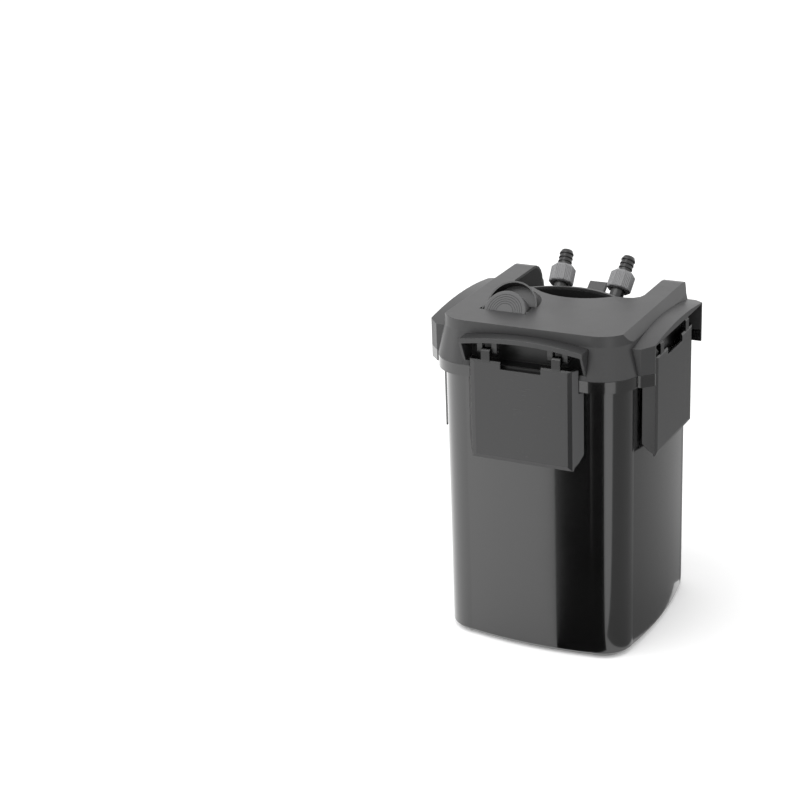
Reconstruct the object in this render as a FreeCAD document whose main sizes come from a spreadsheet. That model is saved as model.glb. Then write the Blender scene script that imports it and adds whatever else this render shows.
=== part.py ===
"""Canister filter: a barrel-sided canister, a tapered head with three drop latches, a sprung
priming knob, a tap set with two hose spigots, a pump and three media baskets.

Millimetres, +Z up, front towards -Y, the origin on the ground under the middle of the canister."""
import FreeCAD
import Part
import math
import os
import re
import Sketcher

V = FreeCAD.Vector
DOC = FreeCAD.newDocument("canister_filter")

SIZES = [
    # canister
    ("half_width", 107.0), ("half_depth", 113.0), ("corner", 35.5), ("bow", 6.1),
    ("wall", 3.0), ("past", 20.0), ("floor_wall", 4.0), ("foot_gap", 1.5),
    ("seam", 327.0), ("base_bevel", 5.0),
    ("collar_x", 115.0), ("collar_y", 121.0), ("collar_corner", 43.0), ("collar_tall", 13.0),
    ("catch_half", 28.0), ("catch_out", 3.5), ("catch_tall", 6.0),
    ("floor_rib_tall", 14.5), ("floor_rib_x", 50.0), ("floor_rib_half", 82.0), ("floor_rib_wall", 3.0),
    # feet
    ("foot_half", 9.0), ("foot_sink", 2.0), ("foot_x", 72.0), ("foot_y", 78.0), ("foot_fit", 0.1),
    # head
    ("head_gap", 0.2), ("head_top", 374.0), ("head_edge", 362.0), ("skin", 3.0),
    ("head_slope", 7.5), ("top_slope", 0.7), ("ridge_x", 101.5), ("rear_round", 25.0), ("shell_gap", 0.1),
    # side hoods
    ("hood_out", 128.8), ("hood_half", 87.0), ("hood_corner", 11.5), ("hood_mid", 364.0),
    ("hood_end", 356.0), ("hood_ceiling", 357.0), ("hood_open", 73.0), ("hood_root", 95.0),
    # front visor
    ("visor_half", 70.0), ("visor_out", 131.0), ("visor_mid", 365.5), ("visor_end", 359.5),
    ("visor_lip", 5.0), ("visor_foot_y", 118.0), ("visor_lip_foot", 356.0), ("bay_floor", 332.5),
    ("bay_back", 104.0),
    # rear bay
    ("bay_half", 77.0), ("bay_front", 18.0), ("bay_corner", 16.0), ("opening_front", 23.0),
    # finger scoop
    ("scoop_y", -47.0), ("scoop_rim", 79.0), ("scoop_ball", 110.0), ("scoop_ball_y", 63.0),
    ("scoop_ball_up", 88.0), ("scoop_near", -7.0), ("scoop_low", 352.0), ("scoop_half", 52.0),
    # latches
    ("latch_half", 57.0), ("latch_flare", 9.0), ("latch_deep", 13.0), ("latch_wall", 3.0),
    ("latch_low", 226.5), ("latch_high", 338.5), ("latch_out", 8.5), ("latch_bevel", 4.0),
    ("latch_bevel_deep", 1.2), ("latch_step", 312.5), ("latch_clear", 0.8),
    ("notch_half", 23.0), ("notch_deep", 8.0), ("pivot_z", 347.0), ("pivot_side", 116.0),
    ("pivot_front", 121.0), ("ear_mid", 40.0), ("ear_half", 5.0), ("ear_radius", 4.0),
    ("pin_radius", 1.5), ("pin_fit", 0.05), ("pin_press", 0.02), ("lug_gap", 0.3), ("lug_thick", 6.0),
    ("lug_radius", 3.5), ("hook_reach", 0.5), ("hook_thick", 4.0), ("hook_tall", 7.0),
    ("catch_gap", 1.0), ("hook_half", 26.0), ("latch_lip", 3.3),
    ("relief_low", 3.0), ("relief_mid", 8.0), ("relief_high", 18.0),
    ("ear_inset", 0.3), ("ear_bevel", 2.0), ("ear_root", 3.0),
    # rear claws
    ("claw_mid", 40.0), ("claw_half", 12.0), ("claw_wall", 3.1), ("claw_gap", 0.4), ("claw_tall", 4.0),
    ("claw_reach", 1.2),
    # head base and gasket
    ("flange_thick", 3.0), ("flange_fit", 1.2), ("plug_deep", 9.0), ("plug_fit", 1.0),
    ("groove_deep", 2.5), ("groove_tall", 4.0), ("groove_low", 2.5), ("gasket_fit", 0.1),
    # screws
    ("boss_x", 92.0), ("boss_y", 92.0), ("boss_radius", 4.5), ("screw_radius", 1.5),
    ("screw_head", 3.2), ("screw_head_tall", 2.4), ("screw_long", 20.0), ("screw_fit", 0.1),
    ("screw_wall", 2.0),
    # priming knob, its well and collar
    ("knob_x", -45.5), ("knob_y", -66.7), ("knob_z", 371.5), ("knob_tilt", 55.0),
    ("knob_radius", 24.6), ("knob_tall", 14.0), ("knob_face", 5.0), ("knob_skirt", 2.6),
    ("knob_fit", 0.5), ("knob_edge", 1.0), ("stem_radius", 3.5), ("stem_fit", 0.08),
    ("well_deep", 28.0), ("well_wall", 2.0), ("tube_rise", 11.27), ("tube_out", 29.2),
    ("tube_wall", 1.9), ("tube_front", 15.55), ("hump_long", 56.0),
    ("barrel_long", 20.0), ("barrel_bore", 10.5), ("barrel_wall", 2.0), ("piston_thick", 3.5),
    ("piston_gap", 1.7), ("piston_fit", 0.5), ("drain_radius", 1.5),
    ("outlet_long", 15.5), ("outlet_sink", 6.0), ("seal_fit", 0.06), ("seal_tall", 1.8), ("seal_deep", 1.6),
    ("tip_radius", 2.5),
    ("spring_wire", 0.7), ("spring_radius", 9.0), ("spring_turns", 5.0), ("spring_end", 0.2),
    ("nipple_y", -31.0),
    # pump
    ("pump_x", 38.0), ("pump_y", -52.0), ("magnet_radius", 12.0), ("magnet_low", 322.0),
    ("magnet_tall", 30.0), ("rotor_gap", 1.0), ("can_wall", 1.8), ("can_top", 358.0),
    ("volute_radius", 32.0), ("chamber_radius", 26.0), ("volute_deep", 16.0), ("cover_thick", 4.0),
    ("impeller_radius", 18.0), ("impeller_low", 305.0), ("impeller_tall", 10.0), ("blade_wall", 1.8),
    ("hub_wide", 6.0), ("disc_thick", 2.0),
    ("shaft_radius", 1.5), ("shaft_fit", 0.05), ("inlet_radius", 10.0), ("bush_radius", 4.0),
    ("bush_long", 3.0), ("bush_wall", 1.5), ("cover_head_tall", 1.5),
    ("cover_screw", 1.0), ("cover_screw_long", 11.0), ("cover_ring", 29.0),
    ("motor_x", 68.0), ("motor_y", 64.0), ("motor_tall", 36.0), ("motor_fit", 0.2),
    # ducts and ports
    ("port_x", 31.8), ("port_y", 39.0), ("port_out", 9.0), ("port_bore", 4.5), ("port_fit", 0.1),
    ("port_deep", 12.0), ("port_step", 4.0), ("duct_wide", 26.0), ("duct_wall", 3.0), ("duct_low", 302.0),
    ("outlet_in", 6.0),
    # intake tube
    ("tube_x", -84.9), ("tube_y", 90.9), ("tube_radius", 11.0), ("tube_bore", 9.0), ("tube_low", 14.0),
    ("tube_fit", 0.1), ("tube_step", 1.5), ("tube_slot", 1.5), ("tube_slot_tall", 14.0),
    # tap set
    ("lean", 42.0), ("splay", 4.0), ("spigot_x", 34.5), ("spigot_y", 65.0), ("spigot_z", 365.0),
    ("plug_back", 30.0), ("plug_radius", 9.5), ("plug_half", 8.0), ("plug_gap", 0.3), ("plug_bore", 4.5),
    ("case_wall", 2.7), ("seat_radius", 7.5), ("seat_fit", 0.1), ("seat_low", 6.0), ("seat_near", 9.7),
    ("seat_thick", 1.9), ("house_radius", 12.5), ("house_long", 18.0), ("collar_radius", 10.2),
    ("collar_end", 20.0),
    ("neck_radius", 8.0), ("neck_in_nut", 8.0), ("tail_root", 6.9), ("tail_tip", 6.2), ("barb_radius", 8.0),
    ("barb_step", 4.9), ("barb_land", 1.2), ("tail_long", 41.0), ("tail_bore", 5.2), ("hose_wall", 1.3),
    ("nut_radius", 14.0), ("nut_long", 21.5), ("nut_bevel", 2.5), ("nut_fit", 0.08), ("nut_rib_step", 3.4),
    ("nut_rib_out", 0.8), ("nut_rib_wide", 1.7), ("spindle_radius", 3.0), ("spindle_fit", 0.06),
    ("lever_x", 6.0), ("lever_wide", 20.4), ("lever_thick", 5.0), ("lever_long", 43.2), ("lever_edge", 1.5),
    ("lever_lean", 56.7), ("hub_radius", 6.5), ("bridge_front", 37.2), ("bridge_back", 52.0),
    ("bridge_top", 350.0), ("slot_gap", 1.0), ("leg_wall", 1.5), ("leg_front", 33.5), ("slot_floor", 335.5),
    ("block_half", 50.0), ("block_foot", 3.5), ("foot_back", 66.0), ("tap_gap", 0.3),
    ("tang_half", 1.25), ("tang_fit", 0.1), ("tang_in", 5.4), ("tang_clear", 0.2),
    # baskets and media
    ("basket_x", 99.0), ("basket_y", 105.0), ("basket_corner", 28.0), ("basket_wall", 2.0),
    ("basket_floor", 2.5), ("basket_pitch", 84.0), ("basket_low", 20.0), ("basket_notch", 15.0),
    ("slot_wide", 5.0), ("slot_pitch", 20.0), ("slot_half", 70.0), ("bed_tall", 62.0), ("bed_fit", 0.5),
    ("lid_thick", 4.0), ("bail_drop", 8.0), ("bail_wide", 5.0), ("bail_thick", 3.0), ("bail_reach", 62.0),
    ("pivot_radius", 1.5), ("pivot_fit", 0.3), ("pivot_in", 2.0), ("pivot_face", 0.1), ("bail_gap", 0.5),
    ("bail_root", 4.0),
    # cable gland
    ("gland_x", -88.0), ("gland_z", 343.0), ("gland_radius", 5.5), ("gland_bore", 3.2),
    ("gland_seat", 7.8), ("gland_face", 119.5), ("gland_lip", 2.5), ("gland_in", 12.0),
    ("gland_tail", 11.5), ("gland_tip", 4.6),
]

SHEET = DOC.addObject("Spreadsheet::Sheet", "sizes")
for row, (name, number) in enumerate(SIZES, start=1):
    SHEET.set(f"A{row}", name)
    SHEET.set(f"B{row}", str(number))
    SHEET.setAlias(f"B{row}", name)
DOC.recompute()
NAMES = {name for name, number in SIZES}
NODES = {}


def size(text):
    """The value of an expression in the sheet's names."""
    return float(SHEET.evalExpression(str(text)))


def cells(text):
    """The same expression with each name written as a cell of the sheet."""
    return re.sub(r"[a-z_]+", lambda word: "sizes." + word[0] if word[0] in NAMES else word[0], str(text))


def bind(made, **places):
    for place, text in places.items():
        made.setExpression(place, cells(text))


def put(made, at=(0, 0, 0), turn=None):
    """Places an object at three expressions, turned by a rotation."""
    made.Placement = FreeCAD.Placement(V(*[size(part) for part in at]), turn or FreeCAD.Rotation())
    for axis, text in zip("xyz", at):
        made.setExpression(f".Placement.Base.{axis}", cells(text))
    return made


ALONG_X = FreeCAD.Rotation(V(0, 1, 0), 90)
ALONG_Y = FreeCAD.Rotation(V(1, 0, 0), -90)

# flat sides of a thin rod, a hidden ring and a hidden drum, chords of a hidden round corner,
# sides of the spring's wire and its sections a turn, and how many of each piece
ROD_SIDES = 12
RING_SIDES = 16
DRUM_SIDES = 24
CORNER_CHORDS = 3
WIRE_SIDES = 4
COIL_STEPS = 8
BLADES = 6
SPOKES = 3
NUT_SIDES = 8
BASKETS = 3
# the share of a many-sided form's corner radius that its flats have
ROD_SHARE = f"cos(180 / {ROD_SIDES})"
DRUM_SHARE = f"cos(180 / {DRUM_SIDES})"


def box(name, low_x, high_x, low_y, high_y, low_z, high_z):
    made = DOC.addObject("Part::Box", name)
    bind(made, Length=f"({high_x}) - ({low_x})", Width=f"({high_y}) - ({low_y})",
         Height=f"({high_z}) - ({low_z})")
    return put(made, (low_x, low_y, low_z))


def cylinder(name, radius, long, at=(0, 0, 0), turn=None):
    made = DOC.addObject("Part::Cylinder", name)
    bind(made, Radius=radius, Height=long)
    return put(made, at, turn)


def rod(name, radius, long, at=(0, 0, 0), turn=None, sides=ROD_SIDES):
    """A thin rod or the hole that it stands in, with a few flat sides."""
    made = DOC.addObject("Part::Prism", name)
    made.Polygon = sides
    bind(made, Circumradius=radius, Height=long)
    return put(made, at, turn)


def drum(name, radius, long, at=(0, 0, 0), turn=None):
    """A round form inside, with a few more flat sides."""
    return rod(name, radius, long, at, turn, DRUM_SIDES)


def sealing_ring(name, outer, inner, tall, low="0"):
    """A hidden ring with flat sides, clear of a round groove of the inner radius."""
    bore = f"({inner}) / cos(180 / {RING_SIDES})"
    whole = rod(name + "_outside", outer, tall, ("0", "0", low), sides=RING_SIDES)
    return cut(name, whole, rod(name + "_bore", bore, f"({tall}) + 2", ("0", "0", f"({low}) - 1"),
                                sides=RING_SIDES))


def sphere(name, radius, at):
    made = DOC.addObject("Part::Sphere", name)
    bind(made, Radius=radius)
    return put(made, at)


def fuse(name, *parts):
    made = DOC.addObject("Part::MultiFuse", name)
    made.Shapes = list(parts)
    return made


def common(name, *parts):
    made = DOC.addObject("Part::MultiCommon", name)
    made.Shapes = list(parts)
    return made


def cut(name, base, *tools):
    made = DOC.addObject("Part::Cut", name)
    made.Base = base
    made.Tool = tools[0] if len(tools) == 1 else fuse(name + "_tools", *tools)
    return made


def group(name, parts):
    made = DOC.addObject("Part::Compound", name)
    made.Links = parts
    return made


def node(name, made):
    """Gives a finished sub-part its name."""
    made.Label = name
    NODES[name] = made
    return made


def arc_centre(start, end, radius):
    """Centre of the arc under half a turn from start to end, on the left where radius is positive."""
    run = end - start
    away = math.sqrt(max(radius ** 2 - run.Length ** 2 / 4, 0.0))
    left = V(-run.y, run.x, 0).normalize()
    return (start + end) / 2 + left * (away if radius > 0 else -away)


def draw(sketch, points):
    """A closed outline: each point is (across, up) or (across, up, radius of the arc to the next)."""
    spots = [V(size(point[0]), size(point[1]), 0) for point in points]
    ends = []
    for index, point in enumerate(points):
        start = spots[index]
        end = spots[(index + 1) % len(points)]
        if len(point) == 2:
            sketch.addGeometry(Part.LineSegment(start, end), False)
            ends.append((1, 2))
            continue
        radius = size(point[2])
        centre = arc_centre(start, end, radius)
        first = math.atan2(start.y - centre.y, start.x - centre.x)
        last = math.atan2(end.y - centre.y, end.x - centre.x)
        if radius < 0:
            first, last = last, first
        ring = Part.Circle(centre, V(0, 0, 1), abs(radius))
        sketch.addGeometry(Part.ArcOfCircle(ring, first, last if last > first else last + 2 * math.pi), False)
        ends.append((1, 2) if radius > 0 else (2, 1))
    for index, point in enumerate(points):
        after = (index + 1) % len(points)
        sketch.addConstraint(Sketcher.Constraint("Coincident", index, ends[index][1], after, ends[after][0]))
    for index, point in enumerate(points):
        for kind, text, place in (("DistanceX", point[0], spots[index].x),
                                  ("DistanceY", point[1], spots[index].y)):
            made = sketch.addConstraint(Sketcher.Constraint(kind, -1, 1, index, ends[index][0], place))
            sketch.setExpression(f"Constraints[{made}]", cells(text))
        if len(point) == 3:
            made = sketch.addConstraint(Sketcher.Constraint("Radius", index, abs(size(point[2]))))
            sketch.setExpression(f"Constraints[{made}]", cells(f"abs({point[2]})"))
    return sketch


PLANES = {
    "XY": FreeCAD.Rotation(),
    "XZ": FreeCAD.Rotation(V(1, 0, 0), 90),
    "YZ": FreeCAD.Rotation(V(1, 1, 1), 120),
}


def outline(name, plane, points, off="0"):
    """A free sketch in a plane that is moved along its normal by off."""
    sketch = DOC.addObject("Sketcher::SketchObject", name)
    normal = PLANES[plane].multVec(V(0, 0, 1))
    at = [f"({off}) * {round(part)}" for part in normal]
    put(sketch, at, PLANES[plane])
    return draw(sketch, points)


def extrude(name, sketch, long, both=False):
    made = DOC.addObject("Part::Extrusion", name)
    made.Base = sketch
    made.DirMode = "Normal"
    made.Solid = True
    made.Symmetric = both
    bind(made, LengthFwd=long)
    return made


def loft(name, sketches):
    made = DOC.addObject("Part::Loft", name)
    made.Sections = sketches
    made.Solid = True
    made.Ruled = True
    return made


def bow_radius(half_chord):
    return f"(({half_chord}) ^ 2 + bow ^ 2) / (2 * bow)"


def bowed_points(half_x, half_y, round_off):
    """A rectangle with round corners and sides that bow out between them."""
    near_x = f"({half_x} - ({round_off}))"
    near_y = f"({half_y} - ({round_off}))"
    side = bow_radius(near_y)
    front = bow_radius(near_x)
    return [
        (half_x, near_y, round_off), (near_x, half_y, front), ("-" + near_x, half_y, round_off),
        (f"-({half_x})", near_y, side), (f"-({half_x})", "-" + near_y, round_off),
        ("-" + near_x, f"-({half_y})", front), (near_x, f"-({half_y})", round_off),
        (half_x, "-" + near_y, side),
    ]


def round_points(half_x, half_y, round_off):
    """A rectangle with round corners and straight sides."""
    near_x = f"({half_x} - ({round_off}))"
    near_y = f"({half_y} - ({round_off}))"
    return [
        (half_x, near_y, round_off), (near_x, half_y), ("-" + near_x, half_y, round_off),
        (f"-({half_x})", near_y), (f"-({half_x})", "-" + near_y, round_off),
        ("-" + near_x, f"-({half_y})"), (near_x, f"-({half_y})", round_off), (half_x, "-" + near_y),
    ]


def corner_chords(half_x, half_y, round_off, bow="0"):
    """The same rectangle with its round corners and bowed sides in chords, for the forms inside."""
    near_x = f"({half_x} - ({round_off}))"
    near_y = f"({half_y} - ({round_off}))"
    points = []
    for sign_x, sign_y, start in ((1, 1, 0), (-1, 1, 90), (-1, -1, 180), (1, -1, 270)):
        for step in range(CORNER_CHORDS + 1):
            angle = start + 90 * step / CORNER_CHORDS
            points.append((f"{sign_x} * {near_x} + ({round_off}) * cos({angle})",
                           f"{sign_y} * {near_y} + ({round_off}) * sin({angle})"))
        if bow == "0":
            continue
        for share in (0.5, 0, -0.5):
            rise = f"({bow}) * (1 - {share} ^ 2)"
            if sign_x == sign_y:
                points.append((f"{share * sign_x} * {near_x}", f"{sign_y} * ({half_y} + {rise})"))
            else:
                points.append((f"{sign_x} * ({half_x} + {rise})", f"{share * sign_y} * {near_y}"))
    return points


def box_points(low_x, high_x, low_y, high_y):
    return [(low_x, low_y), (high_x, low_y), (high_x, high_y), (low_x, high_y)]


def new_body(name):
    made = DOC.addObject("PartDesign::Body", name)
    return made


def plane_of(body, role):
    return next(made for made in body.Origin.OriginFeatures if made.Role == role)


def body_sketch(body, name, plane, points, off="0"):
    """A sketch on one of the body's own planes."""
    sketch = body.newObject("Sketcher::SketchObject", name)
    sketch.AttachmentSupport = (plane_of(body, plane + "_Plane"), [""])
    sketch.MapMode = "FlatFace"
    sketch.AttachmentOffset = FreeCAD.Placement(V(0, 0, size(off)), FreeCAD.Rotation())
    sketch.setExpression(".AttachmentOffset.Base.z", cells(off))
    return draw(sketch, points)


def pad(body, name, sketch, long):
    made = body.newObject("PartDesign::Pad", name)
    made.Profile = sketch
    bind(made, Length=long)
    body.Tip = made
    return made


def body_turn(body, name, kind, sketch):
    made = body.newObject("PartDesign::" + kind, name)
    made.Profile = sketch
    made.ReferenceAxis = (sketch, ["V_Axis"])
    made.Angle = 360
    body.Tip = made
    return made


# canister
FLOOR_TOP = "(foot_gap + floor_wall)"
COLLAR_LOW = "(seam - collar_tall)"
FOOT_SPOTS = [(x, y) for x in ("-foot_x", "foot_x") for y in ("-foot_y", "foot_y")]


def wall_points(inset):
    half_x = f"(half_width - {inset})"
    half_y = f"(half_depth - {inset})"
    return corner_chords(half_x, half_y, f"(corner - {inset})", "bow")


def make_canister():
    body = new_body("canister_body")
    bevel_top = "(foot_gap + base_bevel)"
    barrel = body_sketch(body, "barrel_outline", "XY", bowed_points("half_width", "half_depth", "corner"),
                         bevel_top)
    pad(body, "barrel_form", barrel, f"seam - {bevel_top}")
    narrow = bowed_points("(half_width - base_bevel)", "(half_depth - base_bevel)", "(corner - base_bevel)")
    base = loft("base_form", [outline("base_outline", "XY", narrow, "foot_gap"),
                              outline("bevel_outline", "XY", bowed_points("half_width", "half_depth",
                                                                          "corner"), bevel_top)])
    pad(body, "collar", body_sketch(body, "collar_outline", "XY",
        round_points("collar_x", "collar_y", "collar_corner"), COLLAR_LOW), "collar_tall")
    for side in (-1, 1):
        for end in (-1, 1):
            points = [
                ("hood_root * side", "hood_open * end"), ("hood_out * side", "hood_open * end"),
                ("hood_out * side", "(hood_half - hood_corner) * end"),
                ("(hood_out - hood_corner) * side", "hood_half * end"),
                ("hood_root * side", "hood_half * end"),
            ]
            points = [tuple(text.replace("side", str(side)).replace("end", str(end)) for text in point)
                      for point in points]
            pad(body, "hood_foot", body_sketch(body, "hood_foot_outline", "XY", points, COLLAR_LOW),
                "collar_tall")
    catches = [
        box_points("-catch_half", "catch_half", "-(pivot_front + catch_out)", "-(collar_y - wall)"),
        box_points("collar_x - wall", "pivot_side + catch_out", "-catch_half", "catch_half"),
        box_points("-(pivot_side + catch_out)", "-(collar_x - wall)", "-catch_half", "catch_half"),
    ]
    for points in catches:
        pad(body, "catch_rib", body_sketch(body, "catch_outline", "XY", points, COLLAR_LOW), "catch_tall")
    cavity = extrude("cavity", outline("cavity_outline", "XY", wall_points("wall"), FLOOR_TOP),
                     f"seam + 1 - {FLOOR_TOP}")
    sockets = [foot_pad("foot_socket", x, y, "foot_half + foot_fit", "foot_gap - 1", "foot_sink + 1")
               for x, y in FOOT_SPOTS]
    ribs = [box("floor_rib", f"{side}floor_rib_x - floor_rib_wall / 2",
                f"{side}floor_rib_x + floor_rib_wall / 2",
                "-floor_rib_half", "floor_rib_half", f"{FLOOR_TOP} - 1", f"{FLOOR_TOP} + floor_rib_tall")
            for side in ("-", "")]
    return node("canister", fuse("canister_whole",
                                 cut("canister_open", fuse("canister_form", body, base), cavity, *sockets),
                                 *ribs))


def foot_pad(name, x, y, half, low, tall):
    return box(name, f"{x} - ({half})", f"{x} + ({half})", f"{y} - ({half})", f"{y} + ({half})", low,
               f"({low}) + ({tall})")


def make_feet():
    feet = [foot_pad("foot", x, y, "foot_half", "0", "foot_gap + foot_sink") for x, y in FOOT_SPOTS]
    return node("rubber_feet", group("feet", feet))


# head cover
HEAD_LOW = "(seam + head_gap)"
EDGE_X = "(collar_x - head_slope)"
EDGE_Y = "(collar_y - head_slope)"
WELL_END = "(well_deep + well_wall)"
CORNERS = [(x, y) for x in ("-boss_x", "boss_x") for y in ("-boss_y", "boss_y")]
KNOB_TURN = FreeCAD.Rotation(V(1, 0, 0), size("knob_tilt"))


def knob_place(made, rise="0", deep="0"):
    """Places an object on the knob's axis, rise up the face and deep behind it."""
    at = ("knob_x", f"knob_y + ({rise}) * cos(knob_tilt) + ({deep}) * sin(knob_tilt)",
          f"knob_z + ({rise}) * sin(knob_tilt) - ({deep}) * cos(knob_tilt)")
    return put(made, at, KNOB_TURN)


def knob_rod(name, radius, near, far, rise="0"):
    """A cylinder about the knob's axis from far to near behind its face."""
    return knob_place(cylinder(name, radius, f"({far}) - ({near})"), rise, far)


def head_form(name, inset, top, plan):
    """The tapered head between its seam and a top, with every side of a storey leaning in alike."""
    sections = []
    for up, lean in ((HEAD_LOW, "0"), ("head_edge", "head_slope"), (top, "(head_slope + top_slope)")):
        off = f"({inset} + {lean})"
        points = plan(f"(collar_x - {off})", f"(collar_y - {off})", f"(collar_corner - {off})")
        sections.append(outline(f"{name}_section", "XY", points, up))
    return loft(name, sections)


def side_slopes(name, inset):
    """What the sloping bands along the top's left and right edges leave free."""
    run = f"({EDGE_X} - ridge_x)"
    rise = "(head_top - head_edge)"
    off = f"({inset}) * sqrt({run} ^ 2 + {rise} ^ 2) / {rise}"
    slopes = []
    for side in (-1, 1):
        points = [
            (f"{side} * ({EDGE_X} - {off})", "head_edge"),
            (f"{side} * (ridge_x - {off} - {run} / 2)", f"head_top + {rise} / 2"),
            (f"{side} * ({EDGE_X} + past)", f"head_top + {rise} / 2"),
            (f"{side} * ({EDGE_X} + past)", "head_edge"),
        ]
        slopes.append(extrude(name, outline(name + "_outline", "XZ", points), "4 * half_depth", both=True))
    return slopes


def head_solid(name, inset, top, plan):
    form = head_form(name + "_form", inset, top, plan)
    return cut(name, form, *side_slopes(name + "_slope", inset), rear_rounding(name + "_rear", inset))


def rear_rounding(name, inset):
    """What stands behind the round rear end of the head's top, with the round in chords."""
    middle_y = f"({EDGE_Y} - rear_round)"
    middle_z = "(head_top - rear_round)"
    radius = f"(rear_round - ({inset}))"
    points = [(f"{middle_y} + {radius} * cos({angle})", f"{middle_z} + {radius} * sin({angle})")
              for angle in (90, 72, 54, 36, 18, 0)]
    points += [(f"{EDGE_Y} + past", middle_z), (f"{EDGE_Y} + past", "head_top + past"),
               (middle_y, "head_top + past")]
    return extrude(name, outline(name + "_outline", "YZ", points), "4 * half_width", both=True)


def arch_radius(half, rise):
    return f"(({half}) ^ 2 + ({rise}) ^ 2) / (2 * ({rise}))"


def arch_points(half, low, end, middle):
    """An outline with an arched top between plus and minus half."""
    rise = f"({middle} - ({end}))"
    return [
        (f"-({half})", low), (half, low), (half, end, arch_radius(half, rise)),
        ("0", middle, arch_radius(half, rise)), (f"-({half})", end),
    ]


def make_hood(name, side):
    """A hood over a side latch: a roof on two end walls, open outwards and below."""
    points = [
        (f"hood_root * {side}", "-hood_half"), (f"(hood_out - hood_corner) * {side}", "-hood_half"),
        (f"hood_out * {side}", "-(hood_half - hood_corner)"),
        (f"hood_out * {side}", "hood_half - hood_corner"),
        (f"(hood_out - hood_corner) * {side}", "hood_half"), (f"hood_root * {side}", "hood_half"),
    ]
    plan = extrude("hood_plan", outline("hood_outline", "XY", points, HEAD_LOW), "head_top - seam")
    arch = extrude("hood_arch", outline("hood_arch_outline", "YZ",
        arch_points("(hood_half + 2)", HEAD_LOW, "hood_end", "hood_mid")), "4 * hood_out", both=True)
    open_low = "hood_root" if side > 0 else "-(hood_out + past)"
    open_high = "hood_out + past" if side > 0 else "-hood_root"
    opening = box("hood_opening", open_low, open_high, "-hood_open", "hood_open", "seam - 1", "hood_ceiling")
    limit = head_solid("hood_limit", "-shell_gap", "head_top + 1", round_points)
    hood = cut(f"{name}_form", common("hood_solid", plan, arch), opening, limit)
    carried = fuse(f"{name}_with_lugs", hood, make_lugs(name.split("_")[0]))
    return node(name, cut(f"{name}_drilled", carried,
                          make_pin_holes(name.split("_")[0], "pin_radius + pin_press")))


def visor_form():
    points = [
        ("-(bay_back - skin)", HEAD_LOW), ("-(bay_back - skin)", "head_top"), ("-visor_out", "head_top"),
        ("-visor_out", "visor_lip_foot"), ("-visor_foot_y", HEAD_LOW),
    ]
    side_form = extrude("visor_side", outline("visor_side_outline", "YZ", points), "2 * visor_half",
                        both=True)
    return common("visor", side_form, visor_reach("visor_arch", "0"))


def visor_reach(name, grow):
    """The arched block that the visor takes out of the head's front, moved out by grow."""
    arch = extrude(name, outline(name + "_outline", "XZ",
        arch_points(f"(visor_half + {grow})", "seam - past", f"(visor_end + {grow})",
                    f"(visor_mid + {grow})")),
        "4 * visor_out", both=True)
    reach = box(name + "_reach", "-2 * visor_half", "2 * visor_half", "-(visor_out + past)",
                f"{grow} - (bay_back - skin)", HEAD_LOW, "head_top + past")
    return common(name + "_block", arch, reach)


def visor_hollow():
    inner = "(visor_half - skin)"
    arch = extrude("visor_hollow_arch", outline("visor_hollow_outline", "XZ",
        arch_points(inner, "bay_floor", "(visor_end - visor_lip)", "(visor_mid - visor_lip)")),
        "4 * visor_out", both=True)
    reach = box("visor_hollow_reach", "-visor_half", "visor_half", "-(visor_out + past)", "-bay_back",
                "seam", "head_top")
    return common("visor_hollow", arch, reach)


def bay_points(inset):
    """Plan of the rear bay, with the rim of the scoop as its front edge and its corners in chords."""
    half = f"(bay_half + {inset})"
    front = f"(bay_front - {inset})"
    round_off = f"(bay_corner + {inset})"
    rim = f"(scoop_rim + skin - {inset})"
    meet = f"sqrt({rim} ^ 2 - ({front} - scoop_y) ^ 2)"
    near = f"({half} - {round_off})"
    low = f"({front} + {round_off})"
    points = [(half, f"{EDGE_Y} + past"), ("-" + half, f"{EDGE_Y} + past")]
    points += [(f"-{near} - {round_off} * cos({angle})", f"{low} - {round_off} * sin({angle})")
               for angle in (0, 30, 60, 90)]
    points += [("-" + meet, front, f"-{rim}"), (meet, front)]
    points += [(f"{near} + {round_off} * cos({angle})", f"{low} - {round_off} * sin({angle})")
               for angle in (90, 60, 30, 0)]
    return points


def scoop_tool(name):
    drum = cylinder(name + "_drum", "scoop_rim", "head_top - bay_floor + past", ("0", "scoop_y", "bay_floor"))
    return common(name, drum, sphere(name + "_ball", "scoop_ball",
                                     ("0", "scoop_ball_y", "head_top + scoop_ball_up")))


def lug_points(top):
    edge = "(lug_radius * cos(45))"
    return [
        ("lug_radius", top), ("-lug_radius", top), ("-lug_radius", "pivot_z"),
        (f"-{edge}", f"pivot_z - {edge}"),
        ("0", "pivot_z - lug_radius"), (edge, f"pivot_z - {edge}"), ("lug_radius", "pivot_z"),
    ]


LATCHES = {
    "front": (("0", "-pivot_front", "0"), 0),
    "right": (("pivot_side", "0", "0"), 90),
    "left": (("-pivot_side", "0", "0"), -90),
}
LUG_NEAR = "(ear_mid - ear_half - lug_gap - lug_thick)"
LUG_FAR = "(ear_mid + ear_half + lug_gap)"


def at_latch(which, made):
    place, angle = LATCHES[which]
    return put(made, place, FreeCAD.Rotation(V(0, 0, 1), angle))


def make_lugs(which):
    """Four lugs that hang from the roof of a hood and hold the latch's pins."""
    top = "visor_mid - visor_lip + 1" if which == "front" else "hood_ceiling + 1"
    lugs = []
    for near in (LUG_NEAR, LUG_FAR):
        for low in (near, f"-({near} + lug_thick)"):
            lugs.append(extrude("lug", outline("lug_outline", "YZ", lug_points(top), low), "lug_thick"))
    return at_latch(which, group(f"{which}_lugs", lugs))


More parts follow.
